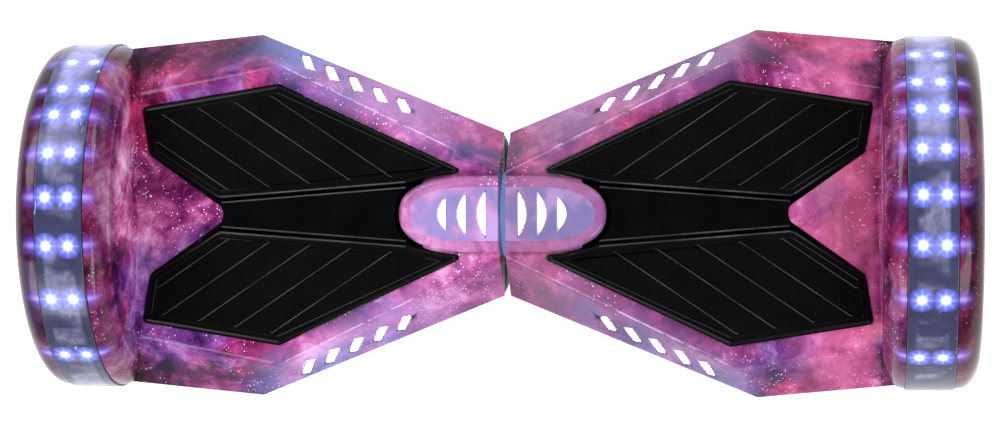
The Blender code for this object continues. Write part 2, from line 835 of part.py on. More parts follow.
def tube(name, points, radius, material):
    curve = bpy.data.curves.new(name, "CURVE")
    curve.dimensions = "3D"
    curve.bevel_depth = radius
    curve.bevel_resolution = 2
    curve.use_fill_caps = True
    spline = curve.splines.new("POLY")
    spline.points.add(len(points) - 1)
    for point, place in zip(spline.points, points):
        point.co = (*place, 1.0)
    curve.materials.append(material)
    made = bpy.data.objects.new(name, curve)
    BOARD.objects.link(made)
    return made


def make_electronics():
    """What the halves hold between frame and belly: battery on the right, controller on the left."""
    battery = box("battery_pack", *BATTERY, WRAP)
    soften(battery, 0.004, segments=2)
    board = box("control_board", *CONTROL_BOARD, BOARD_GREEN)
    join(board, box("heat_sink", *HEAT_SINK))
    for i, x in enumerate(CAPACITORS_X):
        span = (0.0550, 0.0765)
        join(board, cylinder(f"capacitor_{i}", CAPACITOR_RADIUS, (x, 0.020), span, "Z", steps=12))
    speaker = cylinder("speaker", SPEAKER_RADIUS, (SPEAKER_X, 0), SPEAKER_Z, "Z", BLACK)
    start, end = HARNESS_X
    line = [(start + (end - start) * i / 4, 0, AXLE_Z) for i in range(5)]
    harness = tube("centre_harness", line, HARNESS_RADIUS, RUBBER)
    return battery, board, speaker, harness


def make_rear_controls(cover):
    """The charging socket with its cap, and the power button with its switch, in the rear wall."""
    x, z = SOCKET_AT
    face = REAR_WALL_Y + FLANGE_THICKNESS
    seat = (REAR_WALL_Y - FIT, CUT_END_Y)
    cut(cover, cylinder("socket_hole", SOCKET_RADIUS + FIT, SOCKET_AT, (0.10, CUT_END_Y), "Y"))
    cut(cover, cylinder("socket_recess", FLANGE_RADIUS + FIT, SOCKET_AT, seat, "Y"))
    cut(cover, cylinder("button_hole", BUTTON_RADIUS + FIT, BUTTON_AT, (0.10, CUT_END_Y), "Y"))
    cut(cover, cylinder("button_recess", BUTTON_COLLAR + 2 * FIT, BUTTON_AT, seat, "Y"))
    socket = cylinder("charging_socket", SOCKET_RADIUS, SOCKET_AT, (0.1060, face), "Y", BLACK)
    join(socket, cylinder("socket_flange", FLANGE_RADIUS, SOCKET_AT, (REAR_WALL_Y, face), "Y"))
    cut(socket, cylinder("socket_bore", SOCKET_BORE, SOCKET_AT, (0.1120, CUT_END_Y), "Y"))
    inner, outer = face + CAP_GAP, face + CAP_GAP + CAP_THICKNESS
    cap = cylinder("charging_cap", CAP_RADIUS, SOCKET_AT, (inner, outer), "Y", RUBBER)
    hinge_z = z - FLANGE_RADIUS - FIT
    low = (x - STRAP_HALF_WIDTH, inner, hinge_z - 0.0005)
    join(cap, box("cap_strap", low, (x + STRAP_HALF_WIDTH, outer, z)))
    span = (REAR_INSIDE_Y, face + BUTTON_PROUD)
    button = cylinder("power_button", BUTTON_RADIUS, BUTTON_AT, span, "Y", BLACK)
    span = (REAR_INSIDE_Y, REAR_INSIDE_Y + 0.002)
    join(button, cylinder("button_collar", BUTTON_COLLAR, BUTTON_AT, span, "Y"))
    x, z = BUTTON_AT
    low, high = (x - 0.008, SWITCH_Y[0], z - 0.007), (x + 0.008, SWITCH_Y[1], z + 0.007)
    switch = box("power_switch", low, high, BLACK)
    return socket, cap, button, switch, (SOCKET_AT[0], (inner + outer) / 2, hinge_z)


# Wheel, about its own centre with +X outboard


def tyre_profile():
    half = TYRE_WIDTH / 2
    crown = WHEEL_RADIUS / math.cos(math.pi / TURN_STEPS)
    side = [(half, 0.0880), (half, 0.0945), (half - 0.0040, crown - 0.0022), (half - 0.0120, crown)]
    seat = [(half - 0.0015, 0.0826)]
    right = seat + side
    return [(-x, r) for x, r in reversed(right)] + right


def stator_outline(teeth=18, inner=0.0560, outer=0.0695):
    """Slots between teeth, as a ring of points about the axis."""
    points = []
    for i in range(teeth):
        start = 2 * math.pi * i / teeth
        for share, radius in ((0.08, outer), (0.72, outer), (0.66, inner), (1.14, inner)):
            angle = start + 2 * math.pi * share / teeth
            points.append((radius * math.cos(angle), radius * math.sin(angle)))
    return points


def make_wheel():
    tyre = turned("right_tyre", tyre_profile(), RUBBER)
    rim_shape = [
        (-0.0220, 0.0170),
        (-0.0220, 0.0822),
        (0.0220, 0.0822),
        (0.0220, 0.0745),
        (-0.0175, 0.0745),
        (-0.0175, 0.0170),
    ]
    rim = turned("right_wheel_rim", rim_shape, ALUMINIUM)
    hub_shape = [
        (0.0120, 0.0152),
        (0.0120, 0.0190),
        (0.0223, 0.0190),
        (0.0223, 0.0790),
        (0.0250, 0.0770),
        (0.0262, 0.0300),
        (0.0285, 0.0220),
        (0.0285, 0.0),
    ]
    hub_hollow = [(0.0210, 0.0), (0.0210, 0.0152)]
    cover = turned("right_motor_cover", hub_hollow + hub_shape, ALUMINIUM)
    magnets = turned("right_magnet_ring", ring_profile(-0.0155, 0.0155, 0.0702, 0.0742), STEEL)
    inner_bearing = turned(
        "right_inner_bearing", ring_profile(-0.0218, -0.0150, 0.0087, 0.0166), STEEL, steps=24
    )
    outer_bearing = turned(
        "right_outer_bearing", ring_profile(0.0124, 0.0190, 0.0079, 0.0148), STEEL, steps=24
    )
    return [tyre, rim, cover, magnets, inner_bearing, outer_bearing]


def make_motor():
    axle_shape = [
        (-0.0735, 0.0),
        (-0.0735, AXLE_RADIUS),
        (-0.0128, AXLE_RADIUS),
        (-0.0128, 0.0200),
        (0.0105, 0.0200),
        (0.0105, 0.0075),
        (0.0195, 0.0075),
        (0.0195, 0.0),
    ]
    axle = turned("right_axle", axle_shape, STEEL, steps=24)
    stator = plate("right_stator", stator_outline(), -0.0125, 0.0125, STEEL)
    stator.data.transform(Matrix.Rotation(math.pi / 2, 4, "Y"))
    cut(stator, cylinder("stator_bore", 0.0204, (0, 0), (-0.02, 0.02), "X"))
    windings = turned("right_windings", ring_profile(0.0129, 0.0170, 0.0350, 0.0640), COPPER, steps=32)
    return [axle, stator, windings]


def main():
    right_half = axis_empty("right_half", (0, 0, AXLE_Z))
    left_half = axis_empty("left_half", (0, 0, AXLE_Z))
    halves = {"right": right_half, "left": left_half}

    upper, axle_hole, shaft_hole = make_upper_cover()
    lower = make_lower_cover(axle_hole, shaft_hole)
    frame = make_frame()
    tray, pads = make_pads()
    clamp, bolts = make_clamp()
    fixed = [upper, lower, frame, tray, make_strip(), *make_lights(), make_sensor_board(), clamp, *bolts]
    for piece in fixed:
        left = left_copy(piece)
        attach(piece, right_half)
        attach(left, left_half)

    bores = {"right": BUSH_RADIUS + SHAFT_CLEARANCE, "left": SHAFT_RADIUS + SHAFT_CLEARANCE}
    for side, bore in bores.items():
        tool = cylinder(f"{side}_shaft_bore", bore, (0, AXLE_Z), (-0.09, 0.09), "X", steps=32)
        target = bpy.data.objects[f"{side}_frame"]
        target.data = target.data.copy()
        cut(target, tool)

    for pad in pads:
        bpy.context.view_layer.update()
        left = left_copy(pad)
        for made, side in ((pad, 1), (left, -1)):
            middle = (side * 0.15, math.copysign(0.05, sum(v.co.y for v in pad.data.vertices)), PAD_TOP_Z)
            origin_to(made, middle)
            attach(made, halves["right" if side > 0 else "left"])

    hubs = {
        side: axis_empty(f"{side}_wheel_axis", (sign * WHEEL_X, 0, AXLE_Z), halves[side])
        for side, sign in (("right", 1), ("left", -1))
    }
    for piece in make_wheel() + make_motor():
        bake(piece)
        for side, turn in (("right", 0.0), ("left", math.pi)):
            made = piece
            if side == "left":
                made = bpy.data.objects.new(piece.name.replace("right_", "left_"), piece.data)
                BOARD.objects.link(made)
            made.location = hubs[side].location
            made.rotation_euler.z = turn
            attach(made, hubs[side])

    lower = bpy.data.objects["right_lower_cover"]
    lower.data = lower.data.copy()
    socket, cap, button, switch, hinge = make_rear_controls(lower)
    bake(cap)
    origin_to(cap, hinge)
    for piece in (socket, cap, button, switch):
        attach(piece, right_half)

    shaft, bushes, ring, seal = make_shaft()
    battery, board, speaker, harness = make_electronics()
    for piece in (shaft, ring, seal, board, speaker, harness):
        attach(piece, left_half)
    for piece in (*bushes, battery):
        attach(piece, right_half)


main()
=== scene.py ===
import math

import bmesh
import bpy
from mathutils import Matrix, Vector


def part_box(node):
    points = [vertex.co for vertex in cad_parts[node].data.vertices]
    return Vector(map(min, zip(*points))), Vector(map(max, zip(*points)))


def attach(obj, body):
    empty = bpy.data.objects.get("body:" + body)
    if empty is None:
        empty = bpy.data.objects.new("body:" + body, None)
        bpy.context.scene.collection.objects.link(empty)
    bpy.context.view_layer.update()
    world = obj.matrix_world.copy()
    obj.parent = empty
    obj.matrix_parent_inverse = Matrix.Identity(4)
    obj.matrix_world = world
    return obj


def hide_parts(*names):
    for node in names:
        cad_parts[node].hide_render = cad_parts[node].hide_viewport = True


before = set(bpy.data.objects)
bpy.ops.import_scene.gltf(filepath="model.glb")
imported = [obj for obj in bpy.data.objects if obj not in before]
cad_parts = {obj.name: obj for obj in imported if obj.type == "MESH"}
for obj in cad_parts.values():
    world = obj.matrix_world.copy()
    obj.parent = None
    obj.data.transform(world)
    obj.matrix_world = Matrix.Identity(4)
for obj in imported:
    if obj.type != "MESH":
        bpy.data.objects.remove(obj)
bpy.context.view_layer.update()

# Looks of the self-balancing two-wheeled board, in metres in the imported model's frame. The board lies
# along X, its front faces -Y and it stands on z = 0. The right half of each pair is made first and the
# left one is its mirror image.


def middle_of(node):
    low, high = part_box(node)
    return (low + high) / 2


WHEEL_X = middle_of("right_tyre").x
AXLE_Z = middle_of("right_tyre").z
TYRE_HALF = (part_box("right_tyre")[1].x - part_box("right_tyre")[0].x) / 2
WHEEL_RADIUS = AXLE_Z

# Shared with the CAD model
HALF_GAP = 0.0023
WALL = 0.003
FIT = 0.0004
DECK_Z = 0.1325
SPLIT_Z = 0.100
WELL_X = 0.260
BODY_END_X = 0.2760
FENDER_RISE = 0.1165
FENDER_STRETCH = 0.1235 / FENDER_RISE
FENDER_OUTER_X = 0.330
FENDER_BOTTOM_Z = 0.080
STRIP_X = (0.2785, 0.3127)
STRIP_BOTTOM_Z = 0.085
STRIP_SEAT_RADIUS = 0.1146
STRIP_THICKNESS = 0.0018
RIM = [(HALF_GAP, 0.0580), (0.1767, 0.1294), (BODY_END_X, 0.1200)]
CREASE = [(HALF_GAP, 0.0300), (0.1594, 0.1061), (BODY_END_X, 0.0830)]
UNDERSIDE_Z = 0.045
UNDERSIDE_CENTRE_Z = 0.060
BELLY_X = 0.080
POD_CENTRE_X = 0.020
POD_LENGTH = 0.053
POD_HALF_DEPTH = 0.0268
POD_POWER = 2.4
POD_TOP_Z = 0.1375
POD_BORDER = 0.0015
POD_CORNERS = [math.radians(angle) for angle in (17, 39, 60, 70)]
WING_OUTER = (0.2578, 0.0765)
WING_BACK = (0.1589, 0.0925)
WING_TIP = (0.0345, 0.0300)
WING_TIP_RADIUS = 0.0036
WING_WAIST = (0.2522, 0.0423)
NOSE_X = 0.1987
NOSE_RADIUS = 0.008
NOSE_TURN = math.radians(125)
GROOVE_BEND = (0.0683, 0.0206)
GROOVE_END = (0.2010, 0.0104)
PAD_TOP_Z = 0.1355
PAD_BOTTOM_Z = 0.1264
PAD_GAP = 0.0008
TRAY_Z = (0.1210, 0.1240)
ISLAND_TOP_Z = 0.1330
SIDE_WINDOWS = 5
SIDE_WINDOW_FIRST = (0.0726, 0.0775)
SIDE_WINDOW_LAST = (0.1421, 0.1089)
SIDE_WINDOW_LONG = (0.0033, 0.0055)
SIDE_WINDOW_SHORT = (0.0033, 0.0004)
POD_WINDOWS = [(0.0110, 0.0171), (0.0250, 0.0154), (0.0390, 0.0122)]
POD_WINDOW_BULGE = 0.0066
SOCKET_AT = (0.2180, 0.0860)
BUTTON_AT = (0.1920, 0.0860)
REAR_WALL_Y = 0.1222
FLANGE_THICKNESS = 0.0016

# Details that only the looks have
LED_ROWS = [math.radians(angle) for angle in (60, 45, 34, 20, 5.5, -10, -28, -52)]
LED_APART = 0.0156
LED_SIZE = 0.0030
RIB_ANGLE = math.radians(34)
RIB_OFFSETS = [0.0946 - 0.0181 * i for i in range(5)]
RIB_HEIGHT = 0.0008
RIB_WIDTH = 0.0008
RIB_REACH = (0.0042, 0.0015)
LINE_WIDTH = 0.0011
DECK_FILLET = 0.0045
FOLD_X = 0.2630
# Dark clouds of the print: x, y, reach and colour
INK_SPOTS = (
    (0.045, 0.066, 0.040, (0.060, 0.030, 0.120)),
    (0.110, -0.085, 0.036, (0.070, 0.035, 0.130)),
    (0.225, 0.012, 0.026, (0.055, 0.012, 0.075)),
    (-0.222, -0.040, 0.034, (0.050, 0.012, 0.080)),
    (-0.215, 0.108, 0.040, (0.065, 0.010, 0.060)),
    (-0.050, 0.055, 0.026, (0.090, 0.020, 0.075)),
)
# Stars of the print: cells per metre, radius as a share of a cell, how rare big ones are, and an offset
STAR_SIZES = ((150.0, 0.15, 8.0, 0.0), (330.0, 0.27, 4.5, 4.0), (620.0, 0.36, 2.8, 9.0))
WINDOW_CORNER = 0.00025
BEZEL_WIDTH = 0.0004
# How far each row of lights sits off the strip's middle
LED_SWAY = (-0.0025, -0.0020, 0.0, 0.0006, 0.0010, 0.0008, 0.0004, -0.0006)
TURN_STEPS = 144
WINDOW_CUT_Z = (0.0853, 0.1613)
POD_WINDOW_CUT_Z = (0.1253, 0.1613)
SHAFT_HOLE_RADIUS = 0.0215
SCREW_SEAT = 0.0018
CAP_RADIUS = 0.0100
FLOOR_RADIUS = 2.2


# Meshes


def object_of(name, mesh):
    made = bpy.data.objects.new(name, mesh)
    bpy.context.scene.collection.objects.link(made)
    return made


def cutter_of(name, mesh):
    """An object that only a Boolean sees: it is in no scene."""
    return bpy.data.objects.new(name, mesh)


def mesh_of(name, work):
    bmesh.ops.recalc_face_normals(work, faces=work.faces)
    mesh = bpy.data.meshes.new(name)
    work.to_mesh(mesh)
    work.free()
    return mesh


def loft_mesh(name, sections, caps=True):
    """A solid through sections, capped at its ends or else closed on itself like a ring."""
    work = bmesh.new()
    rings = [[work.verts.new(point) for point in section] for section in sections]
    for lower, upper in zip(rings, rings[1:] if caps else rings[1:] + rings[:1]):
        for i, corner in enumerate(lower):
            after = (i + 1) % len(lower)
            work.faces.new((corner, lower[after], upper[after], upper[i]))
    if caps:
        work.faces.new(rings[0])
        work.faces.new(rings[-1])
    return mesh_of(name, work)


def level(outline, z):
    return [(x, y, z) for x, y in outline]


def plate_mesh(name, outline, bottom, top):
    return loft_mesh(name, [level(outline, bottom), level(outline, top)])


def box_mesh(name, low, high):
    (x0, y0, z0), (x1, y1, z1) = low, high
    return plate_mesh(name, [(x0, y0), (x1, y0), (x1, y1), (x0, y1)], z0, z1)


def turned_mesh(name, profile, steps=TURN_STEPS, centre=(0, 0, 0), stretch=1.0, closed=False):
    """Points (x, radius) turned about the X axis: capped where they meet the axis, or a closed ring."""
    work = bmesh.new()
    rings = []
    for x, radius in profile:
        if radius < 1e-6:
            rings.append([work.verts.new((x, 0, 0))])
            continue
        turns = [2 * math.pi * (i + 0.5) / steps for i in range(steps)]
        rings.append([work.verts.new((x, radius * math.sin(a), radius * math.cos(a))) for a in turns])
    pairs = list(zip(rings, rings[1:]))
    if closed:
        pairs.append((rings[-1], rings[0]))
    for first, second in pairs:
        for i in range(steps):
            after = (i + 1) % steps
            if len(first) == 1:
                work.faces.new((first[0], second[i], second[after]))
            elif len(second) == 1:
                work.faces.new((first[i], second[0], first[after]))
            else:
                work.faces.new((first[i], second[i], second[after], first[after]))
    mesh = mesh_of(name, work)
    mesh.transform(Matrix.Translation(centre) @ Matrix.Diagonal((1, stretch, 1, 1)))
    return mesh


def cylinder_mesh(name, radius, at, span, axis="Z", steps=48):
    """A cylinder along an axis. `at` holds the other two coordinates, and `span` its two ends."""
    mesh = turned_mesh(name, [(span[0], 0), (span[0], radius), (span[1], radius), (span[1], 0)], steps)
    if axis == "X":
        mesh.transform(Matrix.Translation((0, at[0], at[1])))
    elif axis == "Y":
        mesh.transform(Matrix.Translation((at[0], 0, at[1])) @ Matrix.Rotation(math.pi / 2, 4, "Z"))
    else:
        mesh.transform(Matrix.Translation((at[0], at[1], 0)) @ Matrix.Rotation(-math.pi / 2, 4, "Y"))
    return mesh


def evaluated(target):
    bpy.context.view_layer.update()
    graph = bpy.context.evaluated_depsgraph_get()
    return bpy.data.meshes.new_from_object(target.evaluated_get(graph))


def boolean(target, name, mesh, operation="DIFFERENCE", hole_tolerant=False):
    change = target.modifiers.new(name, "BOOLEAN")
    change.use_hole_tolerant = hole_tolerant
    change.operation = operation
    change.object = cutter_of(name, mesh)
    change.solver = "EXACT"


def bake(target):
    mesh = evaluated(target)
    target.modifiers.clear()
    target.data = mesh
    return target


def joined(name, meshes):
    """One mesh holding several, each still its own closed shell."""
    work = bmesh.new()
    for mesh in meshes:
        work.from_mesh(mesh)
    mesh = bpy.data.meshes.new(name)
    work.to_mesh(mesh)
    work.free()
    return mesh


def triangulated(mesh):
    """The mesh with flat faces only, so that a Boolean cuts it cleanly."""
    work = bmesh.new()
    work.from_mesh(mesh)
    bmesh.ops.triangulate(work, faces=work.faces)
    work.to_mesh(mesh)
    work.free()
    return mesh


def mirrored_mesh(source):
    """The mirror image of a mesh between front and rear."""
    mesh = source.copy()
    mesh.transform(Matrix.Diagonal((1, -1, 1, 1)))
    mesh.flip_normals()
    return mesh


def rounded(target, width, angle=40):
    """Rounds the edges that are sharper than an angle."""
    change = target.modifiers.new("rounded_edges", "BEVEL")
    change.width = width
    change.segments = 2
    change.limit_method = "ANGLE"
    change.angle_limit = math.radians(angle)
    change.use_clamp_overlap = True
    return bake(target)


def smooth(target, angle=35):
    """Shades the mesh smooth up to an angle, with big flat faces kept flat."""
    target.data.shade_smooth()
    target.data.set_sharp_from_angle(angle=math.radians(angle))
    weights = target.modifiers.new("weighted_normals", "WEIGHTED_NORMAL")
    weights.keep_sharp = True
    weights.weight = 100
    return target


def finish_piece(piece, body, slot, material, *nodes):
    piece.data.materials.clear()
    piece.data.materials.append(material)
    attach(piece, body)
    if nodes:
        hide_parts(*nodes)
    return piece


def left_of(name):
    """The left half's name for something of the right half."""
    return name.replace("right_", "left_", 1)


def mirror_copy(piece, name, axis="X"):
    """The mirror image of a piece across the plane between the halves, or between front and rear."""
    flip = Matrix.Diagonal((-1, 1, 1, 1) if axis == "X" else (1, -1, 1, 1))
    mesh = piece.data.copy()
    mesh.transform(flip)
    mesh.flip_normals()
    made = object_of(name, mesh)
    for change in piece.modifiers:
        if change.type == "WEIGHTED_NORMAL":
            weights = made.modifiers.new("weighted_normals", "WEIGHTED_NORMAL")
            weights.keep_sharp = True
            weights.weight = 100
    return made


def finish_pair(piece, body, slot, material, *nodes):
    """Finishes a piece of the right half and its mirror image on the left half."""
    left = mirror_copy(piece, left_of(piece.name))
    finish_piece(piece, body, slot, material, *nodes)
    finish_piece(left, left_of(body), slot, material, *[left_of(node) for node in nodes])


# Outlines


def both_sides(half):
    return [(x, -y) for x, y in half] + [(x, y) for x, y in reversed(half)]


def shrunk(line, side, inner=0.0, outer=0.0):
    moved = [(x, y - side) for x, y in line]
    moved[0] = (line[0][0] + inner, moved[0][1])
    moved[-1] = (line[-1][0] - outer, moved[-1][1])
    return moved


def arc(centre, radius, start, end, parts):
    turns = [start + (end - start) * i / parts for i in range(parts + 1)]
    return [(centre[0] + radius * math.cos(a), centre[1] + radius * math.sin(a)) for a in turns]


def pod_edge(angle, grown=0.0):
    power = 2 / POD_POWER
    return (
        POD_CENTRE_X + (POD_LENGTH + grown) * math.cos(angle) ** power,
        (POD_HALF_DEPTH + grown) * math.sin(angle) ** power,
    )


def pod_outline(grown=0.0, inner_x=HALF_GAP, parts=28):
    rounded = [pod_edge(math.pi / 2 * i / parts, grown) for i in range(parts)]
    half = [(inner_x, POD_HALF_DEPTH + grown), (POD_CENTRE_X * 0.6, POD_HALF_DEPTH + grown)]
    half += list(reversed(rounded[1:]))
    return [(x, -y) for x, y in half] + [rounded[0]] + [(x, y) for x, y in reversed(half)]


def wing_back_edge():
    """The footpad's outer edge from its tip by the pod round to its waist, with sharp corners."""
    centre = Vector(WING_TIP)
    start, end = (math.radians(angle) for angle in (255, 115))
    middle = (start + end) / 2
    reach = WING_TIP_RADIUS / math.cos((start - end) / 2)
    tip = centre + Vector((math.cos(middle), math.sin(middle))) * reach
    return [tuple(tip), WING_BACK, WING_OUTER, WING_WAIST]


def pod_side(first, last, parts=6):
    """Points beside the pod, just outside its edge, from one of its corners to another."""
    low, high = POD_CORNERS[first], POD_CORNERS[last - 1]
    return [pod_edge(low + (high - low) * i / parts, POD_BORDER) for i in range(parts + 1)]


def pointed_ring(half):
    return [pod_edge(0, POD_BORDER)] + half + [(x, -y) for x, y in reversed(half[:-1])]


def nose(parts=8):
    return arc((NOSE_X + NOSE_RADIUS, 0), NOSE_RADIUS, NOSE_TURN, math.pi, parts)


def deck_opening():
    return pointed_ring(pod_side(0, 4, 12) + wing_back_edge() + nose())


def wing_outline():
    end = (GROOVE_END[0] + 0.0035, GROOVE_END[1] + 0.0008)
    return pod_side(2, 4) + wing_back_edge() + [end, GROOVE_END, GROOVE_BEND]


def island_outline():
    return pointed_ring(pod_side(0, 3) + [GROOVE_BEND, GROOVE_END] + nose())


def turn_of(outline):
    area = 0.0
    for (x0, y0), (x1, y1) in zip(outline, outline[1:] + outline[:1]):
        area += x0 * y1 - x1 * y0
    return 1 if area > 0 else -1


def inset(outline, distance):
    """The outline moved inwards by a distance, whichever way round it is listed."""
    turn = turn_of(outline)
    moved = []
    for i, corner in enumerate(outline):
        before, after = Vector(outline[i - 1]), Vector(outline[(i + 1) % len(outline)])
        here = Vector(corner)
        one, two = (here - before).normalized(), (after - here).normalized()
        normal_one = Vector((-one.y, one.x)) * turn
        normal_two = Vector((-two.y, two.x)) * turn
        middle = (normal_one + normal_two).normalized()
        reach = distance / max(0.35, middle.dot(normal_one))
        moved.append(tuple(here + middle * reach))
    return moved


def eased(outline, radius, sharper_than=16, parts=5):
    """The outline with each real corner replaced by an arc of a radius."""
    made = []
    for i, corner in enumerate(outline):
        before, here = Vector(outline[i - 1]), Vector(corner)
        after = Vector(outline[(i + 1) % len(outline)])
        one, two = here - before, after - here
        turn = -one.angle_signed(two)
        if abs(turn) < math.radians(sharper_than):
            made.append(corner)
            continue
        slope = math.tan(abs(turn) / 2)
        reach = min(radius * slope, one.length * 0.45, two.length * 0.45)
        start = here - one.normalized() * reach
        side = Vector((-one.y, one.x)).normalized() * math.copysign(reach / slope, turn)
        for k in range(parts + 1):
            angle = turn * k / parts
            spoke = -side
            spoke = Vector(
                (
                    spoke.x * math.cos(angle) - spoke.y * math.sin(angle),
                    spoke.x * math.sin(angle) + spoke.y * math.cos(angle),
                )
            )
            made.append(tuple(start + side + spoke))
    return made


def mirrored_y(outline):
    return [(x, -y) for x, y in outline]


def smooth_line(points, parts=5):
    """A Catmull-Rom curve through the points."""
    made = []
    count = len(points)
    for i in range(count - 1):
        p0, p1 = Vector(points[max(0, i - 1)]), Vector(points[i])
        p2, p3 = Vector(points[i + 1]), Vector(points[min(count - 1, i + 2)])
        for k in range(parts):
            t = k / parts
            here = p1 * 2 + (p2 - p0) * t
            here += (p0 * 2 - p1 * 5 + p2 * 4 - p3) * t**2
            here += (p1 * 3 - p0 - p2 * 3 + p3) * t**3
            made.append(tuple(here / 2))
    return made + [tuple(points[-1])]


def line_at(line, s, share=0.05):
    """A point on a two-stretch line at s from 0 to 2, with the corner at s = 1 rounded."""
    a, b, c = (Vector(point) for point in line)
    if abs(s - 1) >= share:
        return a.lerp(b, s) if s < 1 else b.lerp(c, s - 1)
    start, end = a.lerp(b, 1 - share), b.lerp(c, share)
    t = (s - 1 + share) / (2 * share)
    return start.lerp(b, t).lerp(b.lerp(end, t), t)


# Materials


class Paint:
    """A node material round one Principled shader."""

    def __init__(self, name, **sockets):
        self.material = bpy.data.materials.new(name)
        self.material.use_nodes = True
        self.tree = self.material.node_tree
        self.shader = self.tree.nodes["Principled BSDF"]
        self.place = self.node("ShaderNodeTexCoord").outputs["Object"]
        for socket, value in sockets.items():
            self.set(socket.replace("_", " ").title().replace("Ior", "IOR"), value)

    def node(self, kind, **settings):
        made = self.tree.nodes.new(kind)
        for key, value in settings.items():
            setattr(made, key, value)
        return made

    def put(self, value, socket):
        if isinstance(value, bpy.types.NodeSocket):
            self.tree.links.new(value, socket)
        elif isinstance(value, tuple) and len(value) == 3 and len(socket.default_value) == 4:
            socket.default_value = (*value, 1.0)
        else:
            socket.default_value = value

    def set(self, socket, value):
        self.put(value, self.shader.inputs[socket])

    def math(self, operation, *values, clamp=False):
        made = self.node("ShaderNodeMath", operation=operation, use_clamp=clamp)
        for value, socket in zip(values, made.inputs):
            self.put(value, socket)
        return made.outputs[0]

    def times(self, first, *others):
        """The product of all the values."""
        for other in others:
            first = self.math("MULTIPLY", first, other)
        return first

    def apart(self, value, centre):
        """How far a value is from a centre."""
        return self.math("ABSOLUTE", self.math("SUBTRACT", value, centre))

    def vector(self, operation, *values):
        made = self.node("ShaderNodeVectorMath", operation=operation)
        for value, socket in zip(values, made.inputs):
            self.put(value, socket)
        return made.outputs[1 if operation in ("LENGTH", "DISTANCE") else 0]

    def scaled(self, at, x=1.0, y=1.0, z=1.0):
        return self.vector("MULTIPLY", at, (x, y, z))

    def axes(self, at=None):
        made = self.node("ShaderNodeSeparateXYZ")
        self.put(self.place if at is None else at, made.inputs[0])
        return made.outputs

    def mix(self, share, first, second, blend="MIX"):
        made = self.node("ShaderNodeMix", data_type="RGBA", blend_type=blend)
        self.put(share, made.inputs["Factor"])
        self.put(first, made.inputs[6])
        self.put(second, made.inputs[7])
        return made.outputs[2]

    def noise(self, at, scale, detail=4.0, roughness=0.5, distortion=0.0, colour=False):
        made = self.node("ShaderNodeTexNoise")
        self.put(at, made.inputs["Vector"])
        made.inputs["Scale"].default_value = scale
        made.inputs["Detail"].default_value = detail
        made.inputs["Roughness"].default_value = roughness
        made.inputs["Distortion"].default_value = distortion
        return made.outputs["Color" if colour else "Fac"]

    def cells(self, at, scale, feature="F1"):
        made = self.node("ShaderNodeTexVoronoi", feature=feature)
        self.put(at, made.inputs["Vector"])
        made.inputs["Scale"].default_value = scale
        return made.outputs

    def span(self, value, low, high, start=0.0, end=1.0, kind="SMOOTHSTEP"):
        """The value mapped from one range to another, and kept inside it."""
        made = self.node("ShaderNodeMapRange", interpolation_type=kind)
        for part, socket in zip((value, low, high, start, end), made.inputs):
            self.put(part, socket)
        return made.outputs[0]

    def ramp(self, value, *stops, ease=False):
        made = self.node("ShaderNodeValToRGB")
        self.put(value, made.inputs["Fac"])
        band = made.color_ramp
        band.interpolation = "EASE" if ease else "LINEAR"
        while len(band.elements) < len(stops):
            band.elements.new(0.5)
        for element, (at, _) in zip(band.elements, stops):
            element.position = at
        for element, (_, colour) in zip(band.elements, stops):
            element.color = (*colour, 1.0) if isinstance(colour, tuple) else (colour, colour, colour, 1.0)
        return made.outputs["Color"]

    def bump(self, height, strength=0.2, distance=0.0004):
        made = self.node("ShaderNodeBump")
        made.inputs["Strength"].default_value = strength
        made.inputs["Distance"].default_value = distance
        self.put(height, made.inputs["Height"])
        self.put(made.outputs["Normal"], self.shader.inputs["Normal"])


def wheel_turn(paint):
    """The turn round the wheel's axis in radians, 0 at the top and positive to the rear."""
    _, y, z = paint.axes()
    along = paint.math("DIVIDE", y, FENDER_STRETCH)
    up = paint.math("SUBTRACT", z, AXLE_Z)
    return paint.math("ARCTAN2", along, up)


def led_rows(paint, width):
    """1 on each row of lights round the fender and 0 between them."""
    share = paint.math("MULTIPLY_ADD", wheel_turn(paint), 1 / (2 * math.pi), 0.5)
    reach = width / (FENDER_RISE * 2 * math.pi)
    stops = []
    for turn in sorted(LED_ROWS):
        here = turn / (2 * math.pi) + 0.5
        if stops and here - reach <= stops[-1][0]:
            stops[-1] = ((stops[-1][0] + here - reach) / 2, 0.25)
        else:
            stops.append((here - reach, 0.0))
        stops += [(here, 1.0), (here + reach, 0.0)]
    return paint.ramp(share, *stops, ease=True)


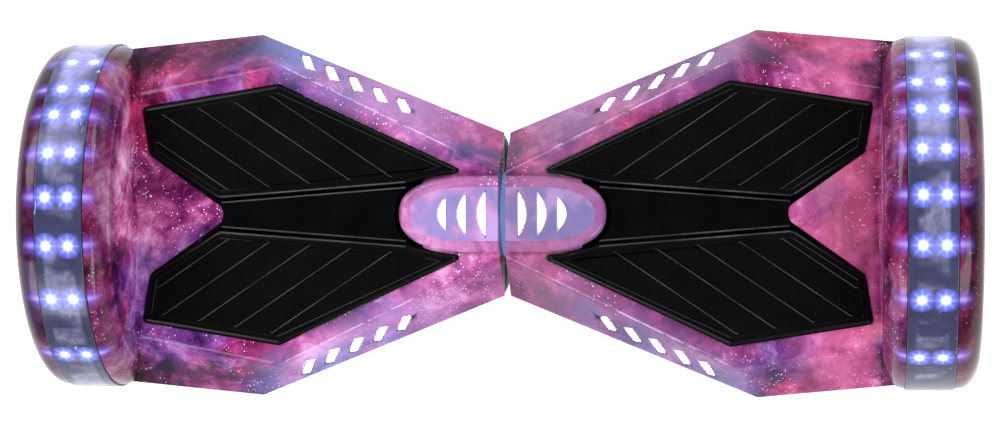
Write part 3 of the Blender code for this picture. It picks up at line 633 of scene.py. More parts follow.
def led_star(paint, reach=0.0105):
    """Eight fading rays of painted flare round each light of the strip."""
    share = paint.math("MULTIPLY_ADD", wheel_turn(paint), 1 / (2 * math.pi), 0.5)
    half = reach / (FENDER_RISE * 2 * math.pi)
    rise, sway = [], []
    for turn, shift in sorted(zip(LED_ROWS, LED_SWAY)):
        here = turn / (2 * math.pi) + 0.5
        rise += [(here - half, 0.0), (here + half, 1.0)]
        sway.append((here, 0.5 + shift * 100))
    v = paint.math("MULTIPLY_ADD", paint.ramp(share, *rise), 2 * reach, -reach)
    shift = paint.math("MULTIPLY_ADD", paint.ramp(share, *sway), 0.01, -0.005)
    fold_x = paint.math("ABSOLUTE", paint.axes()[0])
    u = paint.math("SUBTRACT", paint.math("SUBTRACT", fold_x, sum(STRIP_X) / 2), shift)
    u = paint.math("SUBTRACT", paint.math("ABSOLUTE", u), LED_APART / 2)
    away = paint.math("SQRT", paint.math("ADD", paint.times(u, u), paint.times(v, v)))
    between = paint.span(led_rows(paint, reach), 0.0, 0.12, 0.05, 0.0)
    away = paint.math("ADD", away, between)
    turn = paint.math("ARCTAN2", v, u)
    rays = paint.math("ABSOLUTE", paint.math("COSINE", paint.times(turn, 4.0)))
    rays = paint.math("POWER", rays, 7.0)
    fade = paint.math("POWER", paint.span(away, 0.0015, reach, 1.0, 0.0, "LINEAR"), 2.0)
    return away, paint.times(rays, fade)


def pod_share(paint, grown):
    """How far out a point is towards the pod's edge, grown by a distance: 1 on the edge."""
    x, y, _ = paint.axes()
    along = paint.math("SUBTRACT", paint.math("ABSOLUTE", x), POD_CENTRE_X)
    along = paint.math("DIVIDE", paint.math("MAXIMUM", along, 0.0), POD_LENGTH + grown)
    across = paint.math("DIVIDE", paint.math("ABSOLUTE", y), POD_HALF_DEPTH + grown)
    along, across = paint.math("POWER", along, POD_POWER), paint.math("POWER", across, POD_POWER)
    return paint.math("ADD", along, across)


def away_from_line(paint, start, end):
    """The distance of a point from a line in plan, folded so that all four quarters of the board agree."""
    x, y, _ = paint.axes()
    across = Vector((start[1] - end[1], end[0] - start[0])).normalized()
    shift = across.dot(Vector(start))
    sideways = paint.times(paint.math("ABSOLUTE", x), across.x)
    sideways = paint.math("MULTIPLY_ADD", paint.math("ABSOLUTE", y), across.y, sideways)
    return paint.apart(sideways, shift)


def printed_shell():
    """A printed space pattern under clear lacquer: clouds of pink, plum, violet and crimson, and stars, with
    painted shade, painted highlights and painted glow of the board's lights on top.
    """
    coat = {"coat_weight": 0.10, "coat_roughness": 0.06}
    paint = Paint("printed_space_lacquer", specular_ior_level=0.15, ior=1.32, **coat)
    at = paint.place
    drift = paint.vector("SUBTRACT", paint.noise(at, 7.0, 3.0, 0.5, colour=True), (0.5, 0.5, 0.5))
    swirled = paint.vector("MULTIPLY_ADD", drift, (0.055, 0.055, 0.055), at)
    clouds = paint.noise(swirled, 15.0, 10.0, 0.62, 0.35)
    wisps = paint.noise(swirled, 62.0, 8.0, 0.68, 0.5)
    depth = paint.math("MULTIPLY_ADD", wisps, 0.42, paint.times(clouds, 0.58))
    pinks = paint.ramp(
        depth,
        (0.33, (0.014, 0.002, 0.020)),
        (0.42, (0.085, 0.007, 0.058)),
        (0.49, (0.235, 0.028, 0.140)),
        (0.55, (0.420, 0.100, 0.280)),
        (0.64, (0.700, 0.380, 0.600)),
    )
    violets = paint.ramp(
        depth,
        (0.33, (0.014, 0.003, 0.036)),
        (0.43, (0.060, 0.012, 0.110)),
        (0.50, (0.170, 0.045, 0.255)),
        (0.61, (0.400, 0.220, 0.560)),
    )
    reds = paint.ramp(
        depth,
        (0.34, (0.028, 0.001, 0.014)),
        (0.44, (0.200, 0.009, 0.060)),
        (0.52, (0.470, 0.038, 0.150)),
        (0.63, (0.750, 0.240, 0.370)),
    )
    x, y, z = paint.axes()
    fold_x = paint.math("ABSOLUTE", x)
    side = paint.span(x, -0.05, 0.16)
    hue = paint.noise(swirled, 9.0, 5.0, 0.55)
    colour = paint.mix(paint.span(hue, 0.48, 0.60), pinks, violets)
    heat = paint.noise(paint.vector("ADD", swirled, (3.1, 1.7, 0.4)), 10.0, 5.0, 0.55)
    warm = paint.math("MULTIPLY_ADD", side, 0.05, heat)
    colour = paint.mix(paint.span(warm, 0.56, 0.64, 0.0, 0.85), colour, reds)
    dust = paint.noise(paint.vector("ADD", swirled, (0.7, 5.2, 2.3)), 21.0, 9.0, 0.66, 0.6)
    lanes = paint.ramp(dust, (0.38, (0.13, 0.08, 0.17)), (0.50, (1.0, 1.0, 1.0)))
    colour = paint.mix(0.85, colour, lanes, "MULTIPLY")
    grain = paint.noise(at, 1100.0, 2.0, 0.8)
    colour = paint.mix(0.6, colour, paint.ramp(grain, (0.35, 0.50), (0.65, 1.0)), "MULTIPLY")

    crowd = paint.noise(paint.vector("ADD", at, (1.3, 2.9, 0.2)), 26.0, 4.0, 0.6)
    crowd = paint.span(crowd, 0.38, 0.62, 0.35, 1.25)
    for scale, size, power, seed in STAR_SIZES:
        cell = paint.cells(paint.vector("ADD", at, (seed, seed * 0.7, seed * 0.3)), scale)
        chance = paint.axes(cell["Color"])[0]
        radius = paint.times(paint.math("POWER", chance, power), size, crowd)
        star = paint.math("SUBTRACT", radius, cell["Distance"])
        star = paint.math("MULTIPLY", star, 8.0, clamp=True)
        colour = paint.mix(paint.times(star, 0.85), colour, (0.90, 0.62, 0.85))

    middle = paint.times(paint.span(x, 0.004, 0.020), paint.span(x, 0.055, 0.100, 0.20, 0.0))
    colour = paint.mix(middle, colour, (0.720, 0.280, 0.440))
    blush = paint.span(x, 0.185, 0.235, 0.0, 0.52)
    blush = paint.times(blush, paint.span(clouds, 0.30, 0.55), paint.span(x, 0.254, FOLD_X, 1.0, 0.0))
    colour = paint.mix(blush, colour, (0.560, 0.120, 0.270))
    for px, py, reach, ink in INK_SPOTS:
        spot = paint.vector("DISTANCE", swirled, (px, py, DECK_Z))
        spot = paint.span(spot, reach * 0.3, reach, 0.85, 0.0)
        spot = paint.times(spot, paint.span(clouds, 0.30, 0.52, 1.0, 0.5))
        colour = paint.mix(spot, colour, ink)
    # Painted shade: the fender darker towards its outer edge and just past the fold line, a thin dark line
    # painted along the fold, the sloping walls darker lower down and most on the left half, and the whole
    # left fender a little darker.
    outward_shade = paint.span(fold_x, 0.294, 0.326, 1.0, 0.30)
    shoulder = paint.span(fold_x, FOLD_X, FOLD_X + 0.0025, 1.0, 0.55)
    groove = paint.span(paint.apart(fold_x, FOLD_X + 0.0006), 0.0003, 0.0009, 0.45, 1.0)
    slope_shade = paint.span(paint.math("MULTIPLY_ADD", y, -0.6, x), -0.22, -0.12, 0.40, 0.80)
    down = paint.math("MAXIMUM", paint.span(z, DECK_Z - 0.030, DECK_Z - 0.004), slope_shade)
    shade = paint.times(outward_shade, down, shoulder, groove, paint.span(x, -0.270, -0.262, 0.72, 1.0))
    colour = paint.mix(1.0, colour, paint.ramp(shade, (0.0, 0.0), (1.0, 1.0)), "MULTIPLY")

    # Painted glow: a patchy lavender-blue tint of the side windows' light on the shell along the row of
    # windows, fading towards the pod and the fender, and weaker on the right half.
    lit = away_from_line(paint, SIDE_WINDOW_FIRST, SIDE_WINDOW_LAST)
    lit = paint.span(lit, 0.004, 0.034, 1.0, 0.0)
    lit = paint.times(lit, paint.span(fold_x, 0.150, 0.200, 1.0, 0.0))
    lit = paint.times(lit, paint.span(fold_x, 0.020, 0.070, 0.35, 1.0))
    patchy = paint.span(paint.noise(swirled, 24.0, 4.0, 0.5), 0.30, 0.62, 0.45, 0.95)
    tint = paint.mix(paint.span(hue, 0.42, 0.56), (0.32, 0.17, 0.40), (0.14, 0.165, 0.43))
    lit = paint.times(lit, paint.span(x, -0.02, 0.06, 0.70, 0.48))
    colour = paint.mix(paint.times(lit, patchy), colour, tint)

    # Painted glow of the pod's windows: a patchy mauve tint round the pod's edge and a lavender-blue one over
    # its oval.
    rim = pod_share(paint, 0.0)
    rim = paint.span(rim, 0.80, 1.15, 1.0, 0.0)
    blotch = paint.noise(paint.vector("ADD", swirled, (8.0, 2.0, 0.0)), 34.0, 3.0, 0.5)
    colour = paint.mix(paint.times(rim, patchy, 0.55), colour, (0.33, 0.16, 0.34))
    oval = paint.span(pod_share(paint, -0.0080), 0.97, 1.03, 1.0, 0.0)
    cool = paint.math("MULTIPLY_ADD", paint.span(x, -0.01, 0.03), 0.10, blotch)
    inside = paint.mix(paint.span(cool, 0.46, 0.62), (0.36, 0.18, 0.37), (0.14, 0.16, 0.36))
    inside = paint.mix(paint.span(blotch, 0.38, 0.52, 0.75, 0.0), inside, (0.31, 0.27, 0.52))
    colour = paint.mix(paint.times(oval, 0.72), colour, inside)

    # Painted shade: the right half darker, less so towards its fender.
    right_diagonals = paint.span(x, -0.003, 0.003, 1.0, 0.70)
    right_half_shade = paint.math("MAXIMUM", right_diagonals, paint.span(x, 0.150, 0.200, 0.0, 0.93))
    colour = paint.mix(1.0, colour, paint.ramp(right_half_shade, (0.0, 0.0), (1.0, 1.0)), "MULTIPLY")

    # Painted highlight: a thin pale line along the deck's crease, broken up by the wisps.
    crease = away_from_line(paint, CREASE[0], CREASE[1])
    glint = paint.span(crease, 0.0003, 0.0009, 1.0, 0.0)
    glint = paint.times(glint, paint.span(fold_x, 0.150, 0.162, 0.38, 0.0))
    glint = paint.times(glint, paint.span(wisps, 0.42, 0.56), paint.span(fold_x, 0.030, 0.045))
    colour = paint.mix(glint, colour, (0.72, 0.52, 0.80))

    # Painted glow of the fender lights: a blue-violet tint on the shell beside the strip by each row of
    # lights, and pale rays reaching out from them.
    strip = paint.apart(fold_x, sum(STRIP_X) / 2)
    near = paint.span(strip, 0.016, 0.029, 1.0, 0.0)
    above = paint.span(z, DECK_Z, DECK_Z + 0.02)
    near = paint.times(near, led_rows(paint, 0.009), above)
    colour = paint.mix(paint.times(near, 0.70), colour, (0.17, 0.08, 0.55))
    ray = paint.times(led_rows(paint, 0.0012), paint.span(strip, 0.0165, 0.028, 0.45, 0.0))
    ray = paint.times(ray, above)
    colour = paint.mix(ray, colour, (0.50, 0.45, 0.95))
    paint.set("Base Color", colour)
    smudge = paint.noise(at, 28.0, 6.0, 0.6)
    paint.set("Roughness", paint.span(smudge, 0.3, 0.7, 0.15, 0.30, "LINEAR"))
    peel = paint.noise(at, 420.0, 2.0, 0.5)
    paint.bump(peel, 0.06, 0.0003)
    return paint.material


def moulded(name, dark, light, grain=1600.0, rough=(0.38, 0.56), bump=0.25, specular=0.5):
    """Moulded plastic or rubber: fine grain, patches of gloss, and paler scuffs."""
    paint = Paint(name, specular_ior_level=specular)
    mottle = paint.noise(paint.place, 35.0, 6.0, 0.6)
    colour = paint.ramp(mottle, (0.35, dark), (0.70, light))
    scuffs = paint.noise(paint.scaled(paint.place, 1.0, 6.0, 2.0), 90.0, 6.0, 0.7)
    pale = tuple(min(1.0, part * 2.2 + 0.010) for part in light)
    colour = paint.mix(paint.span(scuffs, 0.64, 0.74, 0.0, 0.45), colour, pale)
    paint.set("Base Color", colour)
    paint.set("Roughness", paint.span(mottle, 0.3, 0.7, rough[0], rough[1], "LINEAR"))
    fine = paint.noise(paint.place, grain, 3.0, 0.6)
    paint.bump(fine, bump, 0.00015)
    return paint.material


def brushed(name, dark, light, stretch=(1.0, 1.0, 1.0), rough=(0.22, 0.42), metallic=1.0, grain=420.0):
    """Metal with fine tool marks and some grime."""
    paint = Paint(name, metallic=metallic)
    marks = paint.noise(paint.scaled(paint.place, *stretch), grain, 5.0, 0.7)
    grime = paint.noise(paint.place, 40.0, 6.0, 0.6)
    colour = paint.mix(marks, dark, light)
    soiled = tuple(part * 0.45 for part in dark)
    colour = paint.mix(paint.span(grime, 0.58, 0.75, 0.0, 0.6), colour, soiled)
    paint.set("Base Color", colour)
    paint.set("Roughness", paint.span(marks, 0.3, 0.7, rough[0], rough[1], "LINEAR"))
    paint.bump(marks, 0.12, 0.0001)
    return paint.material


def circuit():
    paint = Paint("circuit_board_green", coat_weight=0.4, coat_roughness=0.2)
    tracks = paint.cells(paint.scaled(paint.place, 1.0, 1.0, 0.2), 240.0, "DISTANCE_TO_EDGE")["Distance"]
    colour = paint.mix(paint.span(tracks, 0.03, 0.07), (0.030, 0.190, 0.085), (0.012, 0.085, 0.040))
    pads = paint.cells(paint.place, 420.0)["Distance"]
    colour = paint.mix(paint.span(pads, 0.16, 0.20, 1.0, 0.0), colour, (0.62, 0.50, 0.22))
    paint.set("Base Color", colour)
    paint.set("Roughness", paint.span(tracks, 0.0, 0.1, 0.28, 0.48))
    paint.bump(tracks, 0.2, 0.0001)
    return paint.material


def battery_wrap():
    paint = Paint("battery_shrink_wrap", coat_weight=0.5, coat_roughness=0.12)
    folds = paint.noise(paint.scaled(paint.place, 1.0, 3.0, 1.0), 60.0, 7.0, 0.6, 0.8)
    paint.set("Base Color", paint.ramp(folds, (0.35, (0.020, 0.070, 0.240)), (0.65, (0.055, 0.170, 0.460))))
    paint.set("Roughness", paint.span(folds, 0.3, 0.7, 0.18, 0.38))
    paint.bump(folds, 0.5, 0.0006)
    return paint.material


def copper_coils():
    paint = Paint("enamelled_copper", metallic=1.0, coat_weight=0.5)
    turns = paint.node("ShaderNodeTexWave", wave_type="BANDS", bands_direction="X")
    paint.put(paint.place, turns.inputs["Vector"])
    turns.inputs["Scale"].default_value = 320.0
    turns.inputs["Distortion"].default_value = 1.5
    wire = turns.outputs["Fac"]
    paint.set("Base Color", paint.ramp(wire, (0.2, (0.22, 0.075, 0.025)), (0.8, (0.72, 0.33, 0.13))))
    paint.set("Roughness", paint.span(wire, 0.0, 1.0, 0.45, 0.25))
    paint.bump(wire, 0.6, 0.0004)
    return paint.material


def window_light():
    """A frosted light guide, lit from behind."""
    paint = Paint("frosted_light_guide", emission_strength=2.6)
    frost = paint.noise(paint.place, 260.0, 4.0, 0.6)
    paint.set("Base Color", paint.mix(frost, (0.80, 0.82, 0.95), (0.96, 0.96, 1.0)))
    paint.set("Emission Color", paint.mix(frost, (0.86, 0.88, 1.0), (1.0, 1.0, 1.0)))
    paint.set("Roughness", paint.span(frost, 0.3, 0.7, 0.30, 0.50))
    paint.bump(frost, 0.1, 0.0001)
    return paint.material


def led_chip():
    paint = Paint("led_package", emission_strength=7.0)
    phosphor = paint.noise(paint.place, 700.0, 3.0, 0.6)
    paint.set("Base Color", paint.mix(phosphor, (0.85, 0.88, 0.90), (1.0, 1.0, 1.0)))
    paint.set("Emission Color", paint.mix(phosphor, (0.62, 0.78, 1.0), (0.92, 1.0, 1.0)))
    paint.set("Roughness", paint.span(phosphor, 0.3, 0.7, 0.25, 0.45))
    return paint.material


def light_strip():
    """A smoked lens over a flexible light strip: dark navy with blue haloes round its lights, also painted
    into the lens's own colour, with painted glare streaks, painted star rays and a painted reflection of lamp
    light on its rear half.
    """
    coat = {"coat_weight": 0.08, "coat_roughness": 0.06}
    paint = Paint("smoked_light_strip", emission_strength=1.0, specular_ior_level=0.2, ior=1.35, **coat)
    x, y, z = paint.axes()
    from_middle = paint.apart(paint.math("ABSOLUTE", x), sum(STRIP_X) / 2)
    away, rays = led_star(paint)
    core = paint.span(away, 0.0012, 0.0048, 1.0, 0.0)
    halo = paint.span(away, 0.0015, 0.0105, 1.0, 0.0)
    haze = paint.noise(paint.place, 95.0, 5.0, 0.6, 0.4)
    streaks = paint.noise(paint.scaled(paint.place, 1.0, 0.35, 1.0), 210.0, 5.0, 0.6, 0.8)
    patch = paint.noise(paint.scaled(paint.place, 0.5, 1.0, 1.0), 55.0, 2.0, 0.45, 0.2)
    tape = paint.times(paint.span(patch, 0.42, 0.62), paint.span(from_middle, 0.0090, 0.0120, 1.0, 0.0))
    tape = paint.times(tape, paint.span(streaks, 0.35, 0.60, 0.5, 1.0))
    base = paint.mix(haze, (0.018, 0.018, 0.042), (0.042, 0.043, 0.092))
    base = paint.mix(paint.times(tape, 0.8), base, (0.150, 0.155, 0.250))
    # Painted highlight: pale glare streaks on the lens.
    glare = paint.span(streaks, 0.66, 0.72)
    base = paint.mix(paint.times(glare, 0.7), base, (0.40, 0.44, 0.70))
    # Painted glow: blue haloes round the lights mixed into the lens's own colour.
    base = paint.mix(paint.times(halo, 0.85), base, (0.10, 0.12, 0.62))
    paint.set("Base Color", base)
    # Painted reflection: a pale veil of lamp light over the rear half of the strip, stronger higher up and
    # towards its middle.
    rear_reflection = paint.times(paint.span(y, 0.01, 0.09), paint.span(z, 0.090, 0.135, 0.12, 1.0))
    rear_reflection = paint.times(rear_reflection, paint.span(haze, 0.25, 0.75, 0.35, 0.85))
    rear_reflection = paint.times(rear_reflection, paint.span(from_middle, 0.004, 0.015, 1.0, 0.25))
    glow = paint.mix(halo, (0.0, 0.0, 0.0), (0.15, 0.16, 0.90))
    glow = paint.mix(rear_reflection, glow, (0.28, 0.29, 0.66))
    # Painted flare: star rays round each light.
    glow = paint.mix(paint.times(rays, 0.85), glow, (0.62, 0.70, 1.30))
    glow = paint.mix(core, glow, (1.0, 1.3, 2.2))
    paint.set("Emission Color", glow)
    paint.set("Roughness", paint.span(haze, 0.3, 0.7, 0.14, 0.28))
    paint.bump(streaks, 0.2, 0.0003)
    return paint.material


def gloss_black():
    paint = Paint("gloss_black_channel", specular_ior_level=0.12)
    haze = paint.noise(paint.place, 45.0, 6.0, 0.6)
    dust = paint.noise(paint.place, 1500.0, 2.0, 0.7)
    colour = paint.mix(haze, (0.0010, 0.0010, 0.0012), (0.0018, 0.0018, 0.0022))
    colour = paint.mix(paint.span(dust, 0.70, 0.80, 0.0, 0.35), colour, (0.012, 0.012, 0.014))
    paint.set("Base Color", colour)
    paint.set("Roughness", paint.span(haze, 0.3, 0.7, 0.18, 0.26))
    paint.bump(dust, 0.06, 0.0001)
    return paint.material


def pad_rubber():
    paint = Paint("footpad_rubber", specular_ior_level=0.11)
    haze = paint.noise(paint.place, 30.0, 6.0, 0.6)
    fine = paint.noise(paint.place, 1900.0, 3.0, 0.7)
    colour = paint.mix(haze, (0.0014, 0.0014, 0.0016), (0.0022, 0.0022, 0.0025))
    colour = paint.mix(paint.span(fine, 0.66, 0.80, 0.0, 0.5), colour, (0.014, 0.014, 0.015))
    paint.set("Base Color", colour)
    paint.set("Roughness", paint.span(haze, 0.3, 0.7, 0.25, 0.30))
    paint.bump(fine, 0.07, 0.0001)
    return paint.material


def lit_seal():
    """Translucent blue-grey rubber with a painted blue glow, standing in for light from inside the halves."""
    paint = Paint("lit_seal_rubber", emission_strength=1.0)
    haze = paint.noise(paint.place, 70.0, 5.0, 0.6)
    fine = paint.noise(paint.place, 900.0, 3.0, 0.6)
    paint.set("Base Color", paint.mix(haze, (0.17, 0.23, 0.42), (0.26, 0.33, 0.56)))
    paint.set("Emission Color", paint.mix(haze, (0.095, 0.150, 0.290), (0.140, 0.205, 0.400)))
    paint.set("Roughness", paint.span(haze, 0.3, 0.7, 0.45, 0.65))
    paint.bump(fine, 0.25, 0.0002)
    return paint.material


def tyre_rubber():
    paint = Paint("tyre_rubber", specular_ior_level=0.4)
    _, y, z = paint.axes()
    up = paint.math("POWER", paint.math("SUBTRACT", z, AXLE_Z), 2.0)
    radius = paint.math("SQRT", paint.math("ADD", paint.times(y, y), up))
    worn = paint.span(radius, WHEEL_RADIUS - 0.0020, WHEEL_RADIUS - 0.0004)
    dirt = paint.noise(paint.place, 55.0, 7.0, 0.65)
    colour = paint.mix(dirt, (0.010, 0.010, 0.011), (0.026, 0.025, 0.025))
    dusty = paint.times(worn, paint.span(dirt, 0.40, 0.65))
    colour = paint.mix(paint.times(dusty, 0.6), colour, (0.085, 0.078, 0.070))
    paint.set("Base Color", colour)
    paint.set("Roughness", paint.span(dirt, 0.3, 0.7, 0.55, 0.85))
    fine = paint.noise(paint.place, 1300.0, 4.0, 0.7)
    paint.bump(fine, 0.4, 0.0002)
    return paint.material


def floor_paint():
    paint = Paint("studio_floor", specular_ior_level=0.1)
    tone = paint.noise(paint.place, 3.0, 4.0, 0.5)
    paint.set("Base Color", paint.mix(tone, (0.975, 0.975, 0.98), (0.995, 0.995, 0.995)))
    paint.set("Roughness", paint.span(tone, 0.3, 0.7, 0.65, 0.8))
    return paint.material


PRINT_AND_PAINTED_LIGHT = printed_shell()
BELLY = moulded("textured_black_shell", (0.007, 0.007, 0.008), (0.014, 0.014, 0.015), bump=0.5, specular=0.25)
BLACK = moulded("moulded_black_plastic", (0.011, 0.011, 0.012), (0.024, 0.024, 0.025))
SEAL = lit_seal()
BEZEL = moulded("window_bezel", (0.050, 0.038, 0.085), (0.095, 0.075, 0.150), rough=(0.3, 0.5), specular=0.3)
CAP_RUBBER = moulded("cap_rubber", (0.012, 0.012, 0.013), (0.022, 0.022, 0.023), rough=(0.5, 0.7))
CAST = brushed("cast_aluminium", (0.36, 0.37, 0.38), (0.58, 0.58, 0.60), rough=(0.42, 0.62), grain=700.0)
ALLOY_LOOK = {"rough": (0.30, 0.46), "metallic": 0.85}
ALLOY = brushed("painted_wheel_alloy", (0.17, 0.175, 0.185), (0.30, 0.31, 0.325), **ALLOY_LOOK)
STEEL = brushed("bright_steel", (0.34, 0.34, 0.35), (0.58, 0.58, 0.59), (0.3, 3.0, 3.0))
DARK_STEEL = brushed("blackened_screw_steel", (0.05, 0.05, 0.055), (0.13, 0.13, 0.14), rough=(0.3, 0.5))
BRONZE = brushed("sintered_bronze", (0.36, 0.22, 0.08), (0.66, 0.45, 0.19), rough=(0.35, 0.55), grain=1100.0)
LAMINATE = brushed("stator_laminate", (0.10, 0.10, 0.11), (0.26, 0.26, 0.27), (12.0, 0.4, 0.4))
CIRCUIT = circuit()
WRAP = battery_wrap()
COPPER = copper_coils()
LIT = window_light()
CHIP = led_chip()
STRIP = light_strip()
CHANNEL = gloss_black()
PAD = pad_rubber()
# The ribs' and raised lines' paler grey is a painted highlight along them; the paler scuffs on it are wear.
RIB_LOOK = {"rough": (0.30, 0.45), "specular": 0.25}
RIB = moulded("scuffed_rib_rubber", (0.012, 0.012, 0.014), (0.045, 0.045, 0.048), **RIB_LOOK)
TYRE = tyre_rubber()


# Upper covers


def body_profile(s):
    """One cross-section of the body: from the rear rim over the deck to the front rim."""
    rim, crease = line_at(RIM, s), line_at(CREASE, s)
    foot = Vector((rim.x, rim.y, SPLIT_Z))
    top = Vector((crease.x, crease.y, DECK_Z))
    fillet = min(DECK_FILLET, crease.y * 0.3)
    start = top + (foot - top).normalized() * fillet
    end = top + Vector((0, -fillet, 0))
    side = [foot.lerp(start, k / 3) for k in range(3)]
    side += [start.lerp(top, k / 6).lerp(top.lerp(end, k / 6), k / 6) for k in range(7)]
    return [tuple(p) for p in side] + [(p.x, -p.y, p.z) for p in reversed(side)]


def body_mesh():
    first = [i / 20 for i in range(19)]
    corner = [0.95 + 0.1 * i / 8 for i in range(9)]
    last = [1.1 + 0.9 * i / 10 for i in range(11)]
    mesh = loft_mesh("right_upper_cover", [body_profile(s) for s in first + corner + last])
    return triangulated(mesh)


def fender_profile():
    crown = smooth_line(
        [
            (0.2635, 0.0975), (0.2690, 0.1095), (0.2765, 0.1150), (WHEEL_X, FENDER_RISE),
            (0.3145, 0.1155), (0.3225, 0.1125), (0.3282, 0.1050), (FENDER_OUTER_X, 0.0960),
        ]
    )
    return [(WELL_X, 0.0), (WELL_X, 0.0290)] + crown + [(FENDER_OUTER_X, 0.0)]


def well_profile():
    crown = smooth_line(
        [
            (0.2665, 0.0960), (0.2715, 0.1055), (0.2780, 0.1115), (0.3135, 0.1115), (0.3205, 0.1085),
            (FENDER_OUTER_X - WALL, 0.1010),
        ]
    )
    return [(WELL_X + WALL, 0.0), (WELL_X + WALL, 0.0290)] + crown + [(FENDER_OUTER_X - WALL, 0.0)]


def about_wheel_axis(name, profile, stretch=FENDER_STRETCH, closed=False):
    return turned_mesh(name, profile, centre=(0, 0, AXLE_Z), stretch=stretch, closed=closed)


def ring_profile(start, end, inner, outer):
    return [(start, inner), (start, outer), (end, outer), (end, inner)]


def pod_rings(inner_x):
    """The pod: a soft shoulder, then a shallow step up to the oval that holds the windows."""
    steps = [
        (0.0, DECK_Z - 0.002), (0.0, DECK_Z + 0.0012), (-0.0008, DECK_Z + 0.0026),
        (-0.0022, DECK_Z + 0.0036), (-0.0040, DECK_Z + 0.0041), (-0.0062, DECK_Z + 0.0043),
        (-0.0068, DECK_Z + 0.0044), (-0.0074, POD_TOP_Z - 0.0001), (-0.0086, POD_TOP_Z),
    ]
    return [level(pod_outline(grown, inner_x), z) for grown, z in steps]


def side_window_centres():
    for i in range(SIDE_WINDOWS):
        share = i / (SIDE_WINDOWS - 1)
        yield tuple(a + (b - a) * share for a, b in zip(SIDE_WINDOW_FIRST, SIDE_WINDOW_LAST))


def side_window(centre, grown=0.0):
    long, short = Vector(SIDE_WINDOW_LONG), Vector(SIDE_WINDOW_SHORT)
    corners = [-long - short, short - long * 0.94, long + short, long * 0.94 - short]
    outline = [tuple(Vector(centre) + corner) for corner in corners]
    return eased(inset(outline, -grown), WINDOW_CORNER, parts=3)


def pod_window(x, half_length, grown=0.0, parts=16):
    points = []
    for i in range(parts + 1):
        share = -1 + 2 * i / parts
        points.append((x + POD_WINDOW_BULGE * (1 - share**2), share * half_length))
    return inset(points, -grown) if grown else points


def shaft_hole():
    return cylinder_mesh("shaft_hole", SHAFT_HOLE_RADIUS, (0, AXLE_Z), (-0.01, 0.02), "X")


def make_upper_covers():
    cover = object_of("right_printed_cover", body_mesh())
    fender = object_of("right_fender_shape", about_wheel_axis("fender", fender_profile()))
    boolean(fender, "floor_cut", box_mesh("floor_cut", (0.2, -0.2, -0.1), (0.4, 0.2, FENDER_BOTTOM_Z)))
    low, high = (0.2, -0.2, 0.0), (WELL_X + WALL + FIT, 0.2, SPLIT_Z + 0.001)
    boolean(fender, "well_wall_cut", box_mesh("well_wall_cut", low, high))
    bake(fender)
    boolean(cover, "fender", fender.data, "UNION")
    boolean(cover, "pod", loft_mesh("pod", pod_rings(HALF_GAP + FIT)), "UNION")
    rim = shrunk(RIM, 0.0036, WALL, BODY_END_X - WELL_X)
    crease = shrunk(CREASE, 0.0017, WALL, BODY_END_X - WELL_X)
    hollow = [
        level(both_sides(rim), SPLIT_Z - 0.010),
        level(both_sides(rim), SPLIT_Z),
        level(both_sides(crease), DECK_Z - WALL),
    ]
    boolean(cover, "hollow", loft_mesh("hollow", hollow))
    inner_x = HALF_GAP + WALL + FIT
    rings = [
        level(pod_outline(-0.004, inner_x), DECK_Z - 0.010),
        level(pod_outline(-0.004, inner_x), DECK_Z),
        level(pod_outline(-0.0062, inner_x), POD_TOP_Z - WALL),
    ]
    boolean(cover, "pod_hollow", loft_mesh("pod_hollow", rings))
    boolean(cover, "well", about_wheel_axis("well", well_profile()))
    disc = [(WHEEL_X, 0.0), (WHEEL_X, 0.090), (FENDER_OUTER_X + 0.01, 0.090), (FENDER_OUTER_X + 0.01, 0.0)]
    boolean(cover, "wheel_window", about_wheel_axis("wheel_window", disc, 1.0))
    seat = ring_profile(*STRIP_X, STRIP_SEAT_RADIUS, FENDER_RISE + 0.01)
    boolean(cover, "strip_seat", about_wheel_axis("strip_seat", seat, closed=True))
    opening = eased(deck_opening(), WING_TIP_RADIUS)
    boolean(cover, "pad_opening", plate_mesh("pad_opening", opening, DECK_Z - 0.008, DECK_Z + 0.02))
    boolean(cover, "shaft_hole", shaft_hole())
    bake(cover)
    bpy.data.objects.remove(fender)
    rounded(cover, 0.0005, 38)
    windows = []
    for centre in side_window_centres():
        rear = side_window(centre)
        windows.append(plate_mesh("rear_window", rear, *WINDOW_CUT_Z))
        windows.append(plate_mesh("front_window", mirrored_y(rear), *WINDOW_CUT_Z))
    for x, half_length in POD_WINDOWS:
        windows.append(plate_mesh("pod_window", pod_window(x, half_length), *POD_WINDOW_CUT_Z))
    boolean(cover, "windows", joined("windows", windows), hole_tolerant=True)
    bake(cover)
    smooth(cover)
    finish_pair(cover, "right_half", "printed_shell", PRINT_AND_PAINTED_LIGHT, "right_upper_cover")


# Lights


def wall_height(x, y):
    """The height of the body's sloping wall above a point in plan."""
    best = (math.inf, DECK_Z)
    steps = 400
    for i in range(steps):
        s = 2.0 * i / steps
        rim, crease = line_at(RIM, s), line_at(CREASE, s)
        across = rim - crease
        share = (Vector((x, abs(y))) - crease).dot(across) / across.length_squared
        off = (crease + across * share - Vector((x, abs(y)))).length
        if off < best[0]:
            best = (off, DECK_Z + (SPLIT_Z - DECK_Z) * share)
    return best[1]


def lens_mesh(outline, depth, thickness=0.0050):
    """A frosted insert in a window of the sloping wall, with a rounded rim."""
    inner = inset(outline, 0.0002)
    sections = []
    for ring, drop in ((outline, thickness), (outline, 0.0003), (inner, 0.0)):
        sections.append([(x, y, wall_height(x, y) - depth - drop) for x, y in ring])
    return loft_mesh("lens", sections)


def bezel_mesh(outer, inner, height):
    """A thin frame just under the surface, between a window's edge and its lens."""
    levels = ((outer, 0.0014), (outer, 0.0003), (inner, 0.0003), (inner, 0.0014))
    sections = [[(x, y, height(x, y) - drop) for x, y in ring] for ring, drop in levels]
    return loft_mesh("bezel", sections, caps=False)


